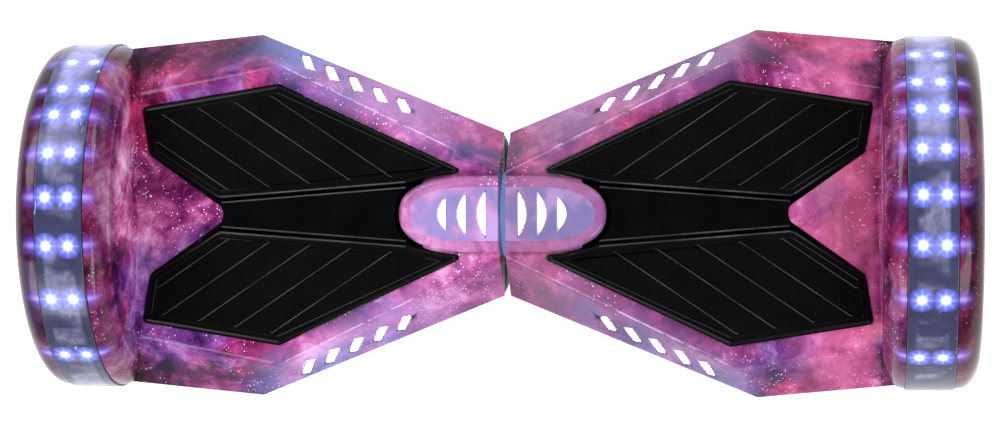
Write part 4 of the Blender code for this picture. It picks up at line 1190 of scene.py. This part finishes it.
def make_window_lights():
    inner = -FIT / 2 - BEZEL_WIDTH
    lenses, bezels = [], []
    for centre in side_window_centres():
        lenses.append(lens_mesh(side_window(centre, inner - 0.0001), 0.0010))
        bezels.append(bezel_mesh(side_window(centre, -FIT / 2), side_window(centre, inner), wall_height))
    first, last = Vector(SIDE_WINDOW_FIRST), Vector(SIDE_WINDOW_LAST)
    along = (last - first).normalized()
    across = Vector((-along.y, along.x))
    first, last = first - along * 0.006, last + along * 0.006
    outline = [first - across * 0.005, last - across * 0.005, last + across * 0.005, first + across * 0.005]
    outline = eased([tuple(point) for point in outline], 0.003)
    inward = Vector((along.y * 0.88, -along.x * 0.88, -0.47))
    sections = []
    for depth in (0.0058, 0.0036):
        patch = [Vector((x, y, wall_height(x, y))) + inward * depth for x, y in outline]
        sections.append([tuple(point) for point in patch])
    bar = loft_mesh("light_bar", sections)
    rear = object_of("right_rear_window_light", joined("right_rear_window_light", lenses + [bar]))
    smooth(rear)
    front = mirror_copy(rear, "right_front_window_light", "Y")
    for piece, place in ((rear, "rear"), (front, "front")):
        finish_pair(piece, "right_half", "window_light", LIT, f"right_{place}_light")
    bezels += [mirrored_mesh(mesh) for mesh in bezels]
    crescents = []
    for x, half_length in POD_WINDOWS:
        outline = pod_window(x, half_length, inner - 0.0001)
        edge, rim = pod_window(x, half_length, -FIT / 2), pod_window(x, half_length, inner)
        bezels.append(bezel_mesh(edge, rim, lambda px, py: POD_TOP_Z))
        top = POD_TOP_Z - 0.0012
        rings = [level(outline, top - 0.0015), level(outline, top - 0.0003)]
        crescents.append(loft_mesh("crescent", rings + [level(inset(outline, 0.0004), top)]))
    base = inset(pod_outline(0, HALF_GAP + WALL), 0.0085)
    crescents.append(plate_mesh("pod_light_base", base, POD_TOP_Z - 0.0075, POD_TOP_Z - WALL - FIT))
    pod = object_of("right_pod_window_light", joined("right_pod_window_light", crescents))
    smooth(pod)
    finish_pair(pod, "right_half", "window_light", LIT, "right_pod_light")
    frames = object_of("right_window_bezels", joined("right_window_bezels", bezels))
    smooth(frames)
    finish_pair(frames, "right_half", "black_plastic", BEZEL)


def make_strips():
    low, high = STRIP_X[0] + FIT, STRIP_X[1] - FIT
    seat = STRIP_SEAT_RADIUS + FIT
    top = seat + STRIP_THICKNESS
    profile = [
        (low, seat), (low, top - 0.0006), (low + 0.0003, top - 0.0002), (low + 0.0008, top),
        (high - 0.0008, top), (high - 0.0003, top - 0.0002), (high, top - 0.0006), (high, seat),
    ]
    strip = object_of("right_light_strip", about_wheel_axis("strip", profile, closed=True))
    boolean(strip, "below_strip", box_mesh("below_strip", (0.2, -0.2, -0.1), (0.4, 0.2, STRIP_BOTTOM_Z)))
    bake(strip)
    smooth(strip)
    finish_pair(strip, "right_half", "fender_lens", STRIP, "right_fender_light")
    chips = []
    middle = sum(STRIP_X) / 2
    half = LED_SIZE / 2
    outline = eased([(-half, -half), (half, -half), (half, half), (-half, half)], 0.0008)
    for turn, sway in zip(LED_ROWS, LED_SWAY):
        for x in (middle + sway - LED_APART / 2, middle + sway + LED_APART / 2):
            rings = [level(outline, -0.0004), level(outline, 0.00025), level(inset(outline, 0.0004), 0.0006)]
            chip = loft_mesh("chip", rings)
            chip.transform(Matrix.Translation((x, 0, top)))
            chip.transform(Matrix.Rotation(-turn, 4, "X"))
            chip.transform(Matrix.Translation((0, 0, AXLE_Z)) @ Matrix.Diagonal((1, FENDER_STRETCH, 1, 1)))
            chips.append(chip)
    lights = object_of("right_led_packages", joined("right_led_packages", chips))
    smooth(lights)
    finish_pair(lights, "right_half", "window_light", CHIP)


# Footpads and channel


def crossings(outline, origin, direction):
    """Where a line crosses an outline, as sorted distances along the line from its origin."""
    found = []
    normal = Vector((-direction.y, direction.x))
    for a, b in zip(outline, outline[1:] + outline[:1]):
        a, b = Vector(a), Vector(b)
        da, db = normal.dot(a - origin), normal.dot(b - origin)
        if (da > 0) != (db > 0):
            hit = a.lerp(b, da / (da - db))
            found.append(direction.dot(hit - origin))
    return sorted(found)


def rib_mesh(start, end, width, bottom, height):
    """A low bar with a rounded top between two points in plan."""
    along = (end - start).normalized()
    across = Vector((-along.y, along.x)) * width / 2
    outline = [tuple(start - across), tuple(end - across), tuple(end + across), tuple(start + across)]
    rings = [
        level(outline, bottom),
        level(outline, bottom + height * 0.5),
        level(inset(outline, width * 0.25), bottom + height),
    ]
    return loft_mesh("rib", rings)


def pad_rings():
    """The wing's edge: a soft shoulder, a raised border and the field inside it."""
    steps = [
        (0.0, PAD_BOTTOM_Z), (0.0, PAD_TOP_Z - 0.0026), (0.0003, PAD_TOP_Z - 0.0017),
        (0.0009, PAD_TOP_Z - 0.0009), (0.0018, PAD_TOP_Z - 0.0003), (0.0028, PAD_TOP_Z),
        (0.0050, PAD_TOP_Z), (0.0054, PAD_TOP_Z - 0.0002), (0.0058, PAD_TOP_Z - 0.0006),
    ]
    return [level(wing_ring(distance), z) for distance, z in steps]


def wing_ring(distance):
    radius = max(0.0008, WING_TIP_RADIUS - PAD_GAP - distance)
    return eased(inset(wing_outline(), PAD_GAP + distance), radius)


def island_ring(distance):
    return eased(inset(island_outline(), PAD_GAP + distance), 0.0012)


def line_ribs(points, width, bottom, height):
    return [rib_mesh(Vector(a), Vector(b), width, bottom, height) for a, b in zip(points, points[1:])]


def wing_ribs():
    """Slanting ribs with a small foot at each end, and a line along the groove."""
    field = inset(wing_outline(), PAD_GAP + 0.0085)
    direction = Vector((math.cos(RIB_ANGLE), math.sin(RIB_ANGLE)))
    normal = Vector((-direction.y, direction.x))
    bottom = PAD_TOP_Z - 0.0007
    meshes = []
    for offset in RIB_OFFSETS:
        origin = normal * -offset
        hits = crossings(field, origin, direction)
        for near, far in zip(hits[::2], hits[1::2]):
            if far - near < 0.012:
                continue
            start = origin + direction * (near - RIB_REACH[0])
            end = origin + direction * (far + RIB_REACH[1])
            foot = Vector((0.0013, -0.0001))
            meshes.append(rib_mesh(start, end, RIB_WIDTH, bottom, RIB_HEIGHT))
            meshes.append(rib_mesh(start - foot, start + foot * 0.2, RIB_WIDTH, bottom, RIB_HEIGHT))
            meshes.append(rib_mesh(end - foot * 0.2, end + foot, RIB_WIDTH, bottom, RIB_HEIGHT))
    groove = [Vector(GROOVE_END), Vector(GROOVE_BEND)]
    lift = Vector((0.0, 0.0020))
    meshes += line_ribs([groove[0] + lift, groove[1] + lift], LINE_WIDTH, PAD_TOP_Z - 0.0006, 0.0007)
    return meshes


def make_pads():
    rear = object_of("right_rear_ribbed_pad", loft_mesh("wing", pad_rings()))
    smooth(rear, angle=50)
    ribs = object_of("right_rear_pad_ribs", joined("ribs", wing_ribs()))
    smooth(ribs, angle=60)
    for piece, material, stands in ((rear, PAD, True), (ribs, RIB, False)):
        front = mirror_copy(piece, piece.name.replace("rear", "front"), "Y")
        for made, place in ((piece, "rear"), (front, "front")):
            nodes = [f"right_{place}_footpad"] if stands else []
            finish_pair(made, f"right_{place}_pad", "footpad", material, *nodes)

    rings = [
        level(island_ring(0.0), TRAY_Z[1] - 0.001),
        level(island_ring(0.0), ISLAND_TOP_Z - 0.0010),
        level(island_ring(0.0004), ISLAND_TOP_Z - 0.0003),
        level(island_ring(0.0012), ISLAND_TOP_Z),
    ]
    tray_edge = eased(inset(deck_opening(), 0.0012), WING_TIP_RADIUS)
    parts = [plate_mesh("tray", tray_edge, *TRAY_Z), loft_mesh("island", rings)]
    tray = object_of("right_channel", joined("right_channel", parts))
    smooth(tray, angle=50)
    finish_pair(tray, "right_half", "channel_gloss", CHANNEL, "right_footpad_tray")
    # Raised lines along the groove's edges in the paler rib rubber, whose paler grey is a painted highlight.
    edge = [Vector(GROOVE_END) + Vector((-0.001, -0.0018)), Vector(GROOVE_BEND) + Vector((0.0, -0.0018))]
    rear_lines = line_ribs(edge, LINE_WIDTH, ISLAND_TOP_Z - 0.0002, 0.0005)
    front_lines = line_ribs([(p.x, -p.y) for p in reversed(edge)], LINE_WIDTH, ISLAND_TOP_Z - 0.0002, 0.0005)
    lines = object_of("right_channel_lines", joined("lines", rear_lines + front_lines))
    smooth(lines, angle=60)
    finish_pair(lines, "right_half", "channel_gloss", RIB)


# Lower covers


def belly_line():
    """The belly's half outline in plan, in the rear half."""
    return [RIM[0], (BELLY_X, 0.0898), RIM[1], (WELL_X + WALL, 0.1212)]


def make_lower_covers():
    top = SPLIT_Z - FIT
    line = belly_line()
    outline = [
        (0.0000, top), (0.0002, top - 0.006), (0.0014, 0.0870), (0.0040, 0.0740), (0.0095, 0.0620),
        (0.0160, 0.0515), (0.0186, 0.0475), (0.0210, UNDERSIDE_Z),
    ]
    sections = [level(eased(both_sides(shrunk(line, side)), 0.006, 8), z) for side, z in outline]
    cover = object_of("right_belly_cover", loft_mesh("belly", sections))
    inner = shrunk(line, WALL * 1.1, WALL, WALL)
    hollow = [
        level(both_sides(inner), top + 0.01),
        level(both_sides(shrunk(inner, 0.004)), 0.074),
        level(both_sides(shrunk(inner, 0.021)), UNDERSIDE_Z + WALL),
    ]
    rise = (UNDERSIDE_CENTRE_Z - UNDERSIDE_Z) / (BELLY_X - HALF_GAP)
    past = 0.01
    inside = object_of("belly_hollow_shape", loft_mesh("belly_hollow", hollow))
    for target, name, lift in ((cover, "ramp", 0.0), (inside, "inner_ramp", WALL)):
        wedge = [
            (BELLY_X, UNDERSIDE_Z + lift), (HALF_GAP - past, UNDERSIDE_CENTRE_Z + lift + rise * past),
            (HALF_GAP - past, 0.0), (BELLY_X, 0.0),
        ]
        mesh = plate_mesh(name, wedge, -0.2, 0.2)
        mesh.transform(Matrix.Rotation(math.pi / 2, 4, "X"))
        boolean(target, name, mesh)
    bake(inside)
    boolean(cover, "hollow", inside.data)
    bpy.data.objects.remove(inside)
    boolean(cover, "shaft_hole", shaft_hole())
    boolean(cover, "axle_hole", cylinder_mesh("axle_hole", 0.0140, (0, AXLE_Z), (0.25, 0.28), "X"))
    screws = [(0.030, 0.030), (0.112, 0.072), (0.178, 0.092), (0.245, 0.086)]
    screws += [(x, -y) for x, y in screws]
    for i, (x, y) in enumerate(screws):
        well = cylinder_mesh("screw_well", 0.0046, (x, y), (0.0, belly_height(x) + SCREW_SEAT))
        boolean(cover, f"screw_well_{i}", well)
    bake(cover)
    left_data = cover.data.copy()
    for i, (at, radius, recess) in enumerate(((SOCKET_AT, 0.0084, 0.0112), (BUTTON_AT, 0.0066, 0.0090))):
        boolean(cover, f"hole_{i}", cylinder_mesh("hole", radius, at, (0.10, 0.14), "Y"))
        boolean(cover, f"recess_{i}", cylinder_mesh("recess", recess, at, (REAR_WALL_Y - FIT, 0.14), "Y"))
    bake(cover)
    plain = object_of("plain_belly", left_data)
    smooth(rounded(plain, 0.0008))
    smooth(rounded(cover, 0.0008))
    left = mirror_copy(plain, "left_belly_cover")
    bpy.data.objects.remove(plain)
    finish_piece(cover, "right_half", "belly_shell", BELLY, "right_lower_cover")
    finish_piece(left, "left_half", "belly_shell", BELLY, "left_lower_cover")
    heads = [screw_mesh(x, y, belly_height(x) + SCREW_SEAT) for x, y in screws]
    right = object_of("right_belly_screws", joined("right_belly_screws", heads))
    smooth(right)
    finish_pair(right, "right_half", "steel", DARK_STEEL)


def belly_height(x):
    if x > BELLY_X:
        return UNDERSIDE_Z
    return UNDERSIDE_Z + (BELLY_X - x) * (UNDERSIDE_CENTRE_Z - UNDERSIDE_Z) / (BELLY_X - HALF_GAP)


def screw_mesh(x, y, seat, radius=0.0036):
    """A countersunk head seen from below, with a cross in it."""
    arm = radius * 0.55
    slot = radius * 0.16
    cross = [(-arm, -slot), (-slot, -slot), (-slot, -arm), (slot, -arm), (slot, -slot), (arm, -slot)]
    cross += [(-px, -py) for px, py in cross]
    ring = []
    for px, py in cross:
        turn = math.atan2(py, px)
        ring.append((radius * math.cos(turn), radius * math.sin(turn)))
    sections = [
        level(ring, 0.0),
        level(ring, -0.0008),
        level([(px * 0.88, py * 0.88) for px, py in ring], -0.0012),
        level(cross, -0.0013),
        level(cross, -0.0004),
    ]
    mesh = loft_mesh("screw", sections)
    mesh.transform(Matrix.Translation((x, y, seat)))
    return mesh


# Wheels


def grooved_tyre():
    """A tyre with three grooves round it and slanted sipes cut into its shoulders."""
    half = TYRE_HALF
    crown = WHEEL_RADIUS
    right = [
        (half - 0.0015, 0.0826), (half - 0.0004, 0.0850), (half, 0.0880), (half, 0.0935),
        (half - 0.0008, 0.0962), (half - 0.0024, 0.0984), (half - 0.0050, 0.1002),
        (half - 0.0085, crown - 0.0004), (0.0128, crown - 0.0001), (0.0122, crown - 0.0016),
        (0.0098, crown - 0.0016), (0.0092, crown), (0.0018, crown), (0.0012, crown - 0.0018),
    ]
    profile = [(-x, r) for x, r in reversed(right)] + right
    mesh = turned_mesh("tyre", profile, steps=180, closed=True)
    centre = Vector((WHEEL_X, 0, AXLE_Z))
    work = bmesh.new()
    work.from_mesh(mesh)
    for vertex in work.verts:
        radius = math.hypot(vertex.co.y, vertex.co.z)
        side = abs(vertex.co.x)
        if side < 0.0126 or radius < 0.0955:
            continue
        turn = math.atan2(vertex.co.y, vertex.co.z) + math.copysign(side, vertex.co.x) * 4.0
        if math.cos(turn * 45) > 0.35:
            sink = (radius - 0.0013) / radius
            vertex.co.y *= sink
            vertex.co.z *= sink
    work.to_mesh(mesh)
    work.free()
    mesh.transform(Matrix.Translation(centre))
    return mesh


def hub_star(spokes=6, steps=144):
    """The motor cover's outer face: broad spokes between sunken fields, inside a turned rim."""
    work = bmesh.new()
    radii = [0.0, 0.0100, 0.0112, 0.0200, 0.0214, 0.0228, 0.0300, 0.0500]
    radii += [0.0620, 0.0650, 0.0664, 0.0760, 0.0782, 0.0790]
    rings = []
    for radius in radii:
        ring = []
        for i in range(steps):
            turn = 2 * math.pi * i / steps
            wave = math.cos(turn * spokes)
            open_field = 1 / (1 + math.exp(-(wave - 0.1) * 14))
            rise = 0.0262 - 0.0012 * max(0.0, (radius - 0.0300) / 0.0490)
            if radius < 0.0105:
                rise = 0.0272
            elif radius < 0.0216:
                rise = 0.0284 if radius > 0.0111 else 0.0278
            elif 0.0229 < radius < 0.0652:
                rise -= 0.0042 * open_field
            elif radius > 0.0785:
                rise = 0.0223
            elif radius > 0.0765:
                rise = 0.0240
            ring.append((rise, radius * math.sin(turn), radius * math.cos(turn)))
        rings.append(ring)
    centre = work.verts.new((0.0272, 0, 0))
    made = [[work.verts.new(p) for p in ring] for ring in rings[1:]]
    back = [work.verts.new((0.0120, p[1], p[2])) for p in rings[-1]]
    for i in range(steps):
        after = (i + 1) % steps
        work.faces.new((centre, made[0][i], made[0][after]))
        for first, second in zip(made, made[1:] + [back]):
            work.faces.new((first[i], second[i], second[after], first[after]))
    work.faces.new(back)
    return mesh_of("hub", work)


def make_wheels():
    centre = Matrix.Translation((WHEEL_X, 0, AXLE_Z))
    tyre = object_of("right_treaded_tyre", grooved_tyre())
    smooth(tyre, angle=40)
    half = 0.0220
    rim_profile = [
        (-half, 0.0170), (-half, 0.0700), (-half + 0.0010, 0.0735), (-half, 0.0790), (-half, 0.0822),
        (half, 0.0822), (half + 0.0006, 0.0816), (half + 0.0006, 0.0802), (half, 0.0797), (half, 0.0745),
        (-0.0175, 0.0745), (-0.0175, 0.0170),
    ]
    rim = turned_mesh("rim", rim_profile, steps=144, closed=True)
    rim.transform(centre)
    rim = object_of("right_alloy_rim", rim)
    smooth(rim)
    hub = hub_star()
    hub.transform(centre)
    hub = object_of("right_hub_cover", hub)
    smooth(hub)
    bolts = []
    for i in range(6):
        turn = math.pi / 6 + math.pi * i / 3
        bolt = screw_mesh(0, 0, 0, 0.0032)
        bolt.transform(Matrix.Rotation(-math.pi / 2, 4, "Y"))
        bolt.transform(Matrix.Translation((0.0247, 0.0710 * math.sin(turn), 0.0710 * math.cos(turn))))
        bolt.transform(centre)
        bolts.append(bolt)
    bolts = object_of("right_hub_screws", joined("right_hub_screws", bolts))
    smooth(bolts)
    sets = (
        (tyre, "tyre", TYRE, ["right_tyre"]), (rim, "wheel_alloy", ALLOY, ["right_wheel_rim"]),
        (hub, "wheel_alloy", ALLOY, ["right_motor_cover"]), (bolts, "steel", DARK_STEEL, []),
    )
    for piece, slot, material, nodes in sets:
        finish_pair(piece, "right_wheel", slot, material, *nodes)


# Small pieces on the rear wall, and the seal between the halves


def make_rear_controls():
    outer = REAR_WALL_Y + FLANGE_THICKNESS
    x, z = SOCKET_AT
    profile = [
        (0.1060, 0.0), (0.1060, 0.0080), (REAR_WALL_Y, 0.0080), (REAR_WALL_Y, 0.0104),
        (REAR_WALL_Y + 0.0004, 0.0108), (outer - 0.0006, 0.0108), (outer, 0.0102), (outer, 0.0066),
        (outer - 0.0006, 0.0060), (0.1120, 0.0060), (0.1120, 0.0),
    ]
    meshes = [turned_mesh("socket", profile, steps=64)]
    for i in range(3):
        turn = math.radians(90 + 120 * i)
        at = (0.0030 * math.cos(turn), 0.0030 * math.sin(turn))
        meshes.append(cylinder_mesh("pin", 0.0007, at, (0.1110, 0.1190), "X", 16))
    socket = joined("socket", meshes)
    socket.transform(Matrix.Translation((x, 0, z)) @ Matrix.Rotation(math.pi / 2, 4, "Z"))
    socket = object_of("right_charging_socket", socket)
    smooth(socket)
    finish_piece(socket, "right_half", "black_plastic", BLACK, "charging_socket")

    low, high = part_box("charging_cap")
    back, front = low.y, high.y
    turns = [2 * math.pi * i / 64 for i in range(64)]
    disc = [(CAP_RADIUS * math.cos(turn), CAP_RADIUS * math.sin(turn)) for turn in turns]
    cap = loft_mesh(
        "cap",
        [
            level(disc, back),
            level(disc, front - 0.0006),
            level([(px * 0.95, py * 0.95) for px, py in disc], front - 0.0001),
            level([(px * 0.80, py * 0.80) for px, py in disc], front),
            level([(px * 0.74, py * 0.74) for px, py in disc], front - 0.0004),
        ],
    )
    cap.transform(Matrix.Translation((x, 0, z)) @ Matrix.Rotation(-math.pi / 2, 4, "X"))
    strap_ring = [(x - 0.004, low.z), (x + 0.004, low.z), (x + 0.004, z - 0.006), (x - 0.004, z - 0.006)]
    strap_ring = eased(strap_ring, 0.0012)
    strap = loft_mesh(
        "strap",
        [
            [(px, back, pz) for px, pz in strap_ring],
            [(px, front - 0.0004, pz) for px, pz in strap_ring],
            [(px, front - 0.0002, pz) for px, pz in inset(strap_ring, 0.0003)],
        ],
    )
    cap = object_of("right_charging_cap", joined("cap", [cap, strap]))
    smooth(cap)
    finish_piece(cap, "charging_cap", "seal_rubber", CAP_RUBBER, "charging_cap")

    x, z = BUTTON_AT
    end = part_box("power_button")[1].y
    profile = [
        (0.1150, 0.0), (0.1150, 0.0082), (0.1170, 0.0082), (0.1170, 0.0062), (end - 0.0008, 0.0062),
        (end - 0.0002, 0.0058), (end, 0.0050), (end - 0.0005, 0.0038), (end - 0.0008, 0.0),
    ]
    button = turned_mesh("button", profile, steps=64)
    button.transform(Matrix.Translation((x, 0, z)) @ Matrix.Rotation(math.pi / 2, 4, "Z"))
    button = object_of("right_power_button", button)
    smooth(button)
    finish_piece(button, "power_button", "black_plastic", BLACK, "power_button")


def make_seal():
    low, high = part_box("centre_seal")
    width = high.x - low.x
    middle = (low.x + high.x) / 2
    profile = [(low.x, 0.0163), (low.x, 0.0296), (middle - width * 0.2, 0.0300), (middle, 0.0288)]
    profile += [(2 * middle - px, radius) for px, radius in reversed(profile[:-1])]
    seal = object_of("centre_ribbed_seal", turned_mesh("seal", profile, centre=(0, 0, AXLE_Z), closed=True))
    smooth(seal)
    finish_piece(seal, "left_half", "seal_rubber", SEAL, "centre_seal")


# Inner pieces keep their CAD meshes


def finish_inner_nodes():
    kinds = {
        "frame": CAST,
        "axle_clamp": CAST,
        "front_clamp_bolt": STEEL,
        "rear_clamp_bolt": STEEL,
        "axle": STEEL,
        "stator": LAMINATE,
        "windings": COPPER,
        "magnet_ring": STEEL,
        "inner_bearing": STEEL,
        "outer_bearing": STEEL,
        "sensor_board": CIRCUIT,
    }
    single = {
        "centre_shaft": STEEL,
        "retaining_ring": STEEL,
        "inner_bush": BRONZE,
        "outer_bush": BRONZE,
        "centre_harness": CAP_RUBBER,
        "control_board": CIRCUIT,
        "speaker": BLACK,
        "battery_pack": WRAP,
        "power_switch": BLACK,
    }
    for name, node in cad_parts.items():
        kind = name.split("_", 1)[1] if name.startswith(("left_", "right_")) else ""
        material = single.get(name) or kinds.get(kind) or BLACK
        node.data.materials.clear()
        node.data.materials.append(material)
        if node.hide_render:
            continue
        rounded = node.modifiers.new("rounded_edges", "BEVEL")
        rounded.width = 0.0004
        rounded.segments = 2
        rounded.limit_method = "ANGLE"
        rounded.angle_limit = math.radians(40)


# Studio


def make_stage():
    ring = arc((0, 0), FLOOR_RADIUS, 0, math.tau * 95 / 96, 95)
    floor = object_of("studio_floor", plate_mesh("studio_floor", ring, -0.02, -0.0006))
    floor.data.materials.append(floor_paint())
    world = bpy.data.worlds.new("light_tent")
    bpy.context.scene.world = world
    world.use_nodes = True
    nodes, links = world.node_tree.nodes, world.node_tree.links
    direction = nodes.new("ShaderNodeTexCoord")
    split = nodes.new("ShaderNodeSeparateXYZ")
    links.new(direction.outputs["Generated"], split.inputs[0])
    tent = nodes.new("ShaderNodeValToRGB")
    band = tent.color_ramp
    stops = ((0.0, 1.0), (0.05, 0.86), (0.14, 0.45), (0.30, 0.52), (0.58, 0.14), (0.80, 0.012))
    while len(band.elements) < len(stops):
        band.elements.new(0.5)
    for element, (at, _) in zip(band.elements, stops):
        element.position = at
    for element, (_, bright) in zip(band.elements, stops):
        element.color = (bright, bright, bright, 1.0)
    links.new(split.outputs["Z"], tent.inputs["Fac"])
    links.new(tent.outputs["Color"], nodes["Background"].inputs["Color"])
    nodes["Background"].inputs["Strength"].default_value = 1.0


def add_softbox(name, place, size, power, target=(0, 0, 0.1), tint=(1.0, 1.0, 1.0)):
    light = bpy.data.lights.new(name, "AREA")
    light.shape = "RECTANGLE"
    light.size, light.size_y = size
    light.energy = power
    light.color = tint
    made = bpy.data.objects.new(name, light)
    bpy.context.scene.collection.objects.link(made)
    made.location = place
    made.rotation_mode = "QUATERNION"
    made.rotation_quaternion = (Vector(target) - Vector(place)).to_track_quat("-Z", "Y")
    made.visible_camera = False
    return made


def make_lights():
    add_softbox("key_softbox", (-1.5, 1.3, 1.7), (1.6, 1.0), 74.0, tint=(1.0, 0.99, 1.0))
    add_softbox("fill_softbox", (1.5, -1.3, 1.7), (1.6, 1.0), 68.0, tint=(0.99, 0.99, 1.0))
    add_softbox("rear_softbox", (1.2, 1.6, 1.4), (1.4, 0.8), 42.0)
    add_softbox("front_softbox", (-1.2, -1.6, 1.4), (1.4, 0.8), 42.0)


def make_camera():
    """The photograph's view: almost straight down, leaning a little to the left half."""
    tilt = Matrix.Rotation(math.radians(0.13), 3, "Z")
    tilt = tilt @ Matrix.Rotation(math.radians(-6.79), 3, "Y")
    tilt = tilt @ Matrix.Rotation(math.radians(-0.13), 3, "X")
    aim = Vector((0, 0, 0.135))
    shift = Vector((0.0013, 0.0014, 0.0))
    distance = 1.935
    turn = tilt.transposed()
    place = turn @ (Vector((0, 0, distance)) - shift) + aim
    data = bpy.data.cameras.new("photo_camera")
    data.sensor_width = 36.0
    data.lens = 2768.2 * data.sensor_width / 1000
    data.clip_start, data.clip_end = 0.05, 50.0
    camera = bpy.data.objects.new("photo_camera", data)
    bpy.context.scene.collection.objects.link(camera)
    camera.matrix_world = Matrix.Translation(place) @ turn.to_4x4()
    bpy.context.scene.camera = camera


make_upper_covers()
make_window_lights()
make_strips()
make_pads()
make_lower_covers()
make_wheels()
make_rear_controls()
make_seal()
finish_inner_nodes()
make_stage()
make_lights()
make_camera()
bpy.context.scene.view_settings.view_transform = "Standard"
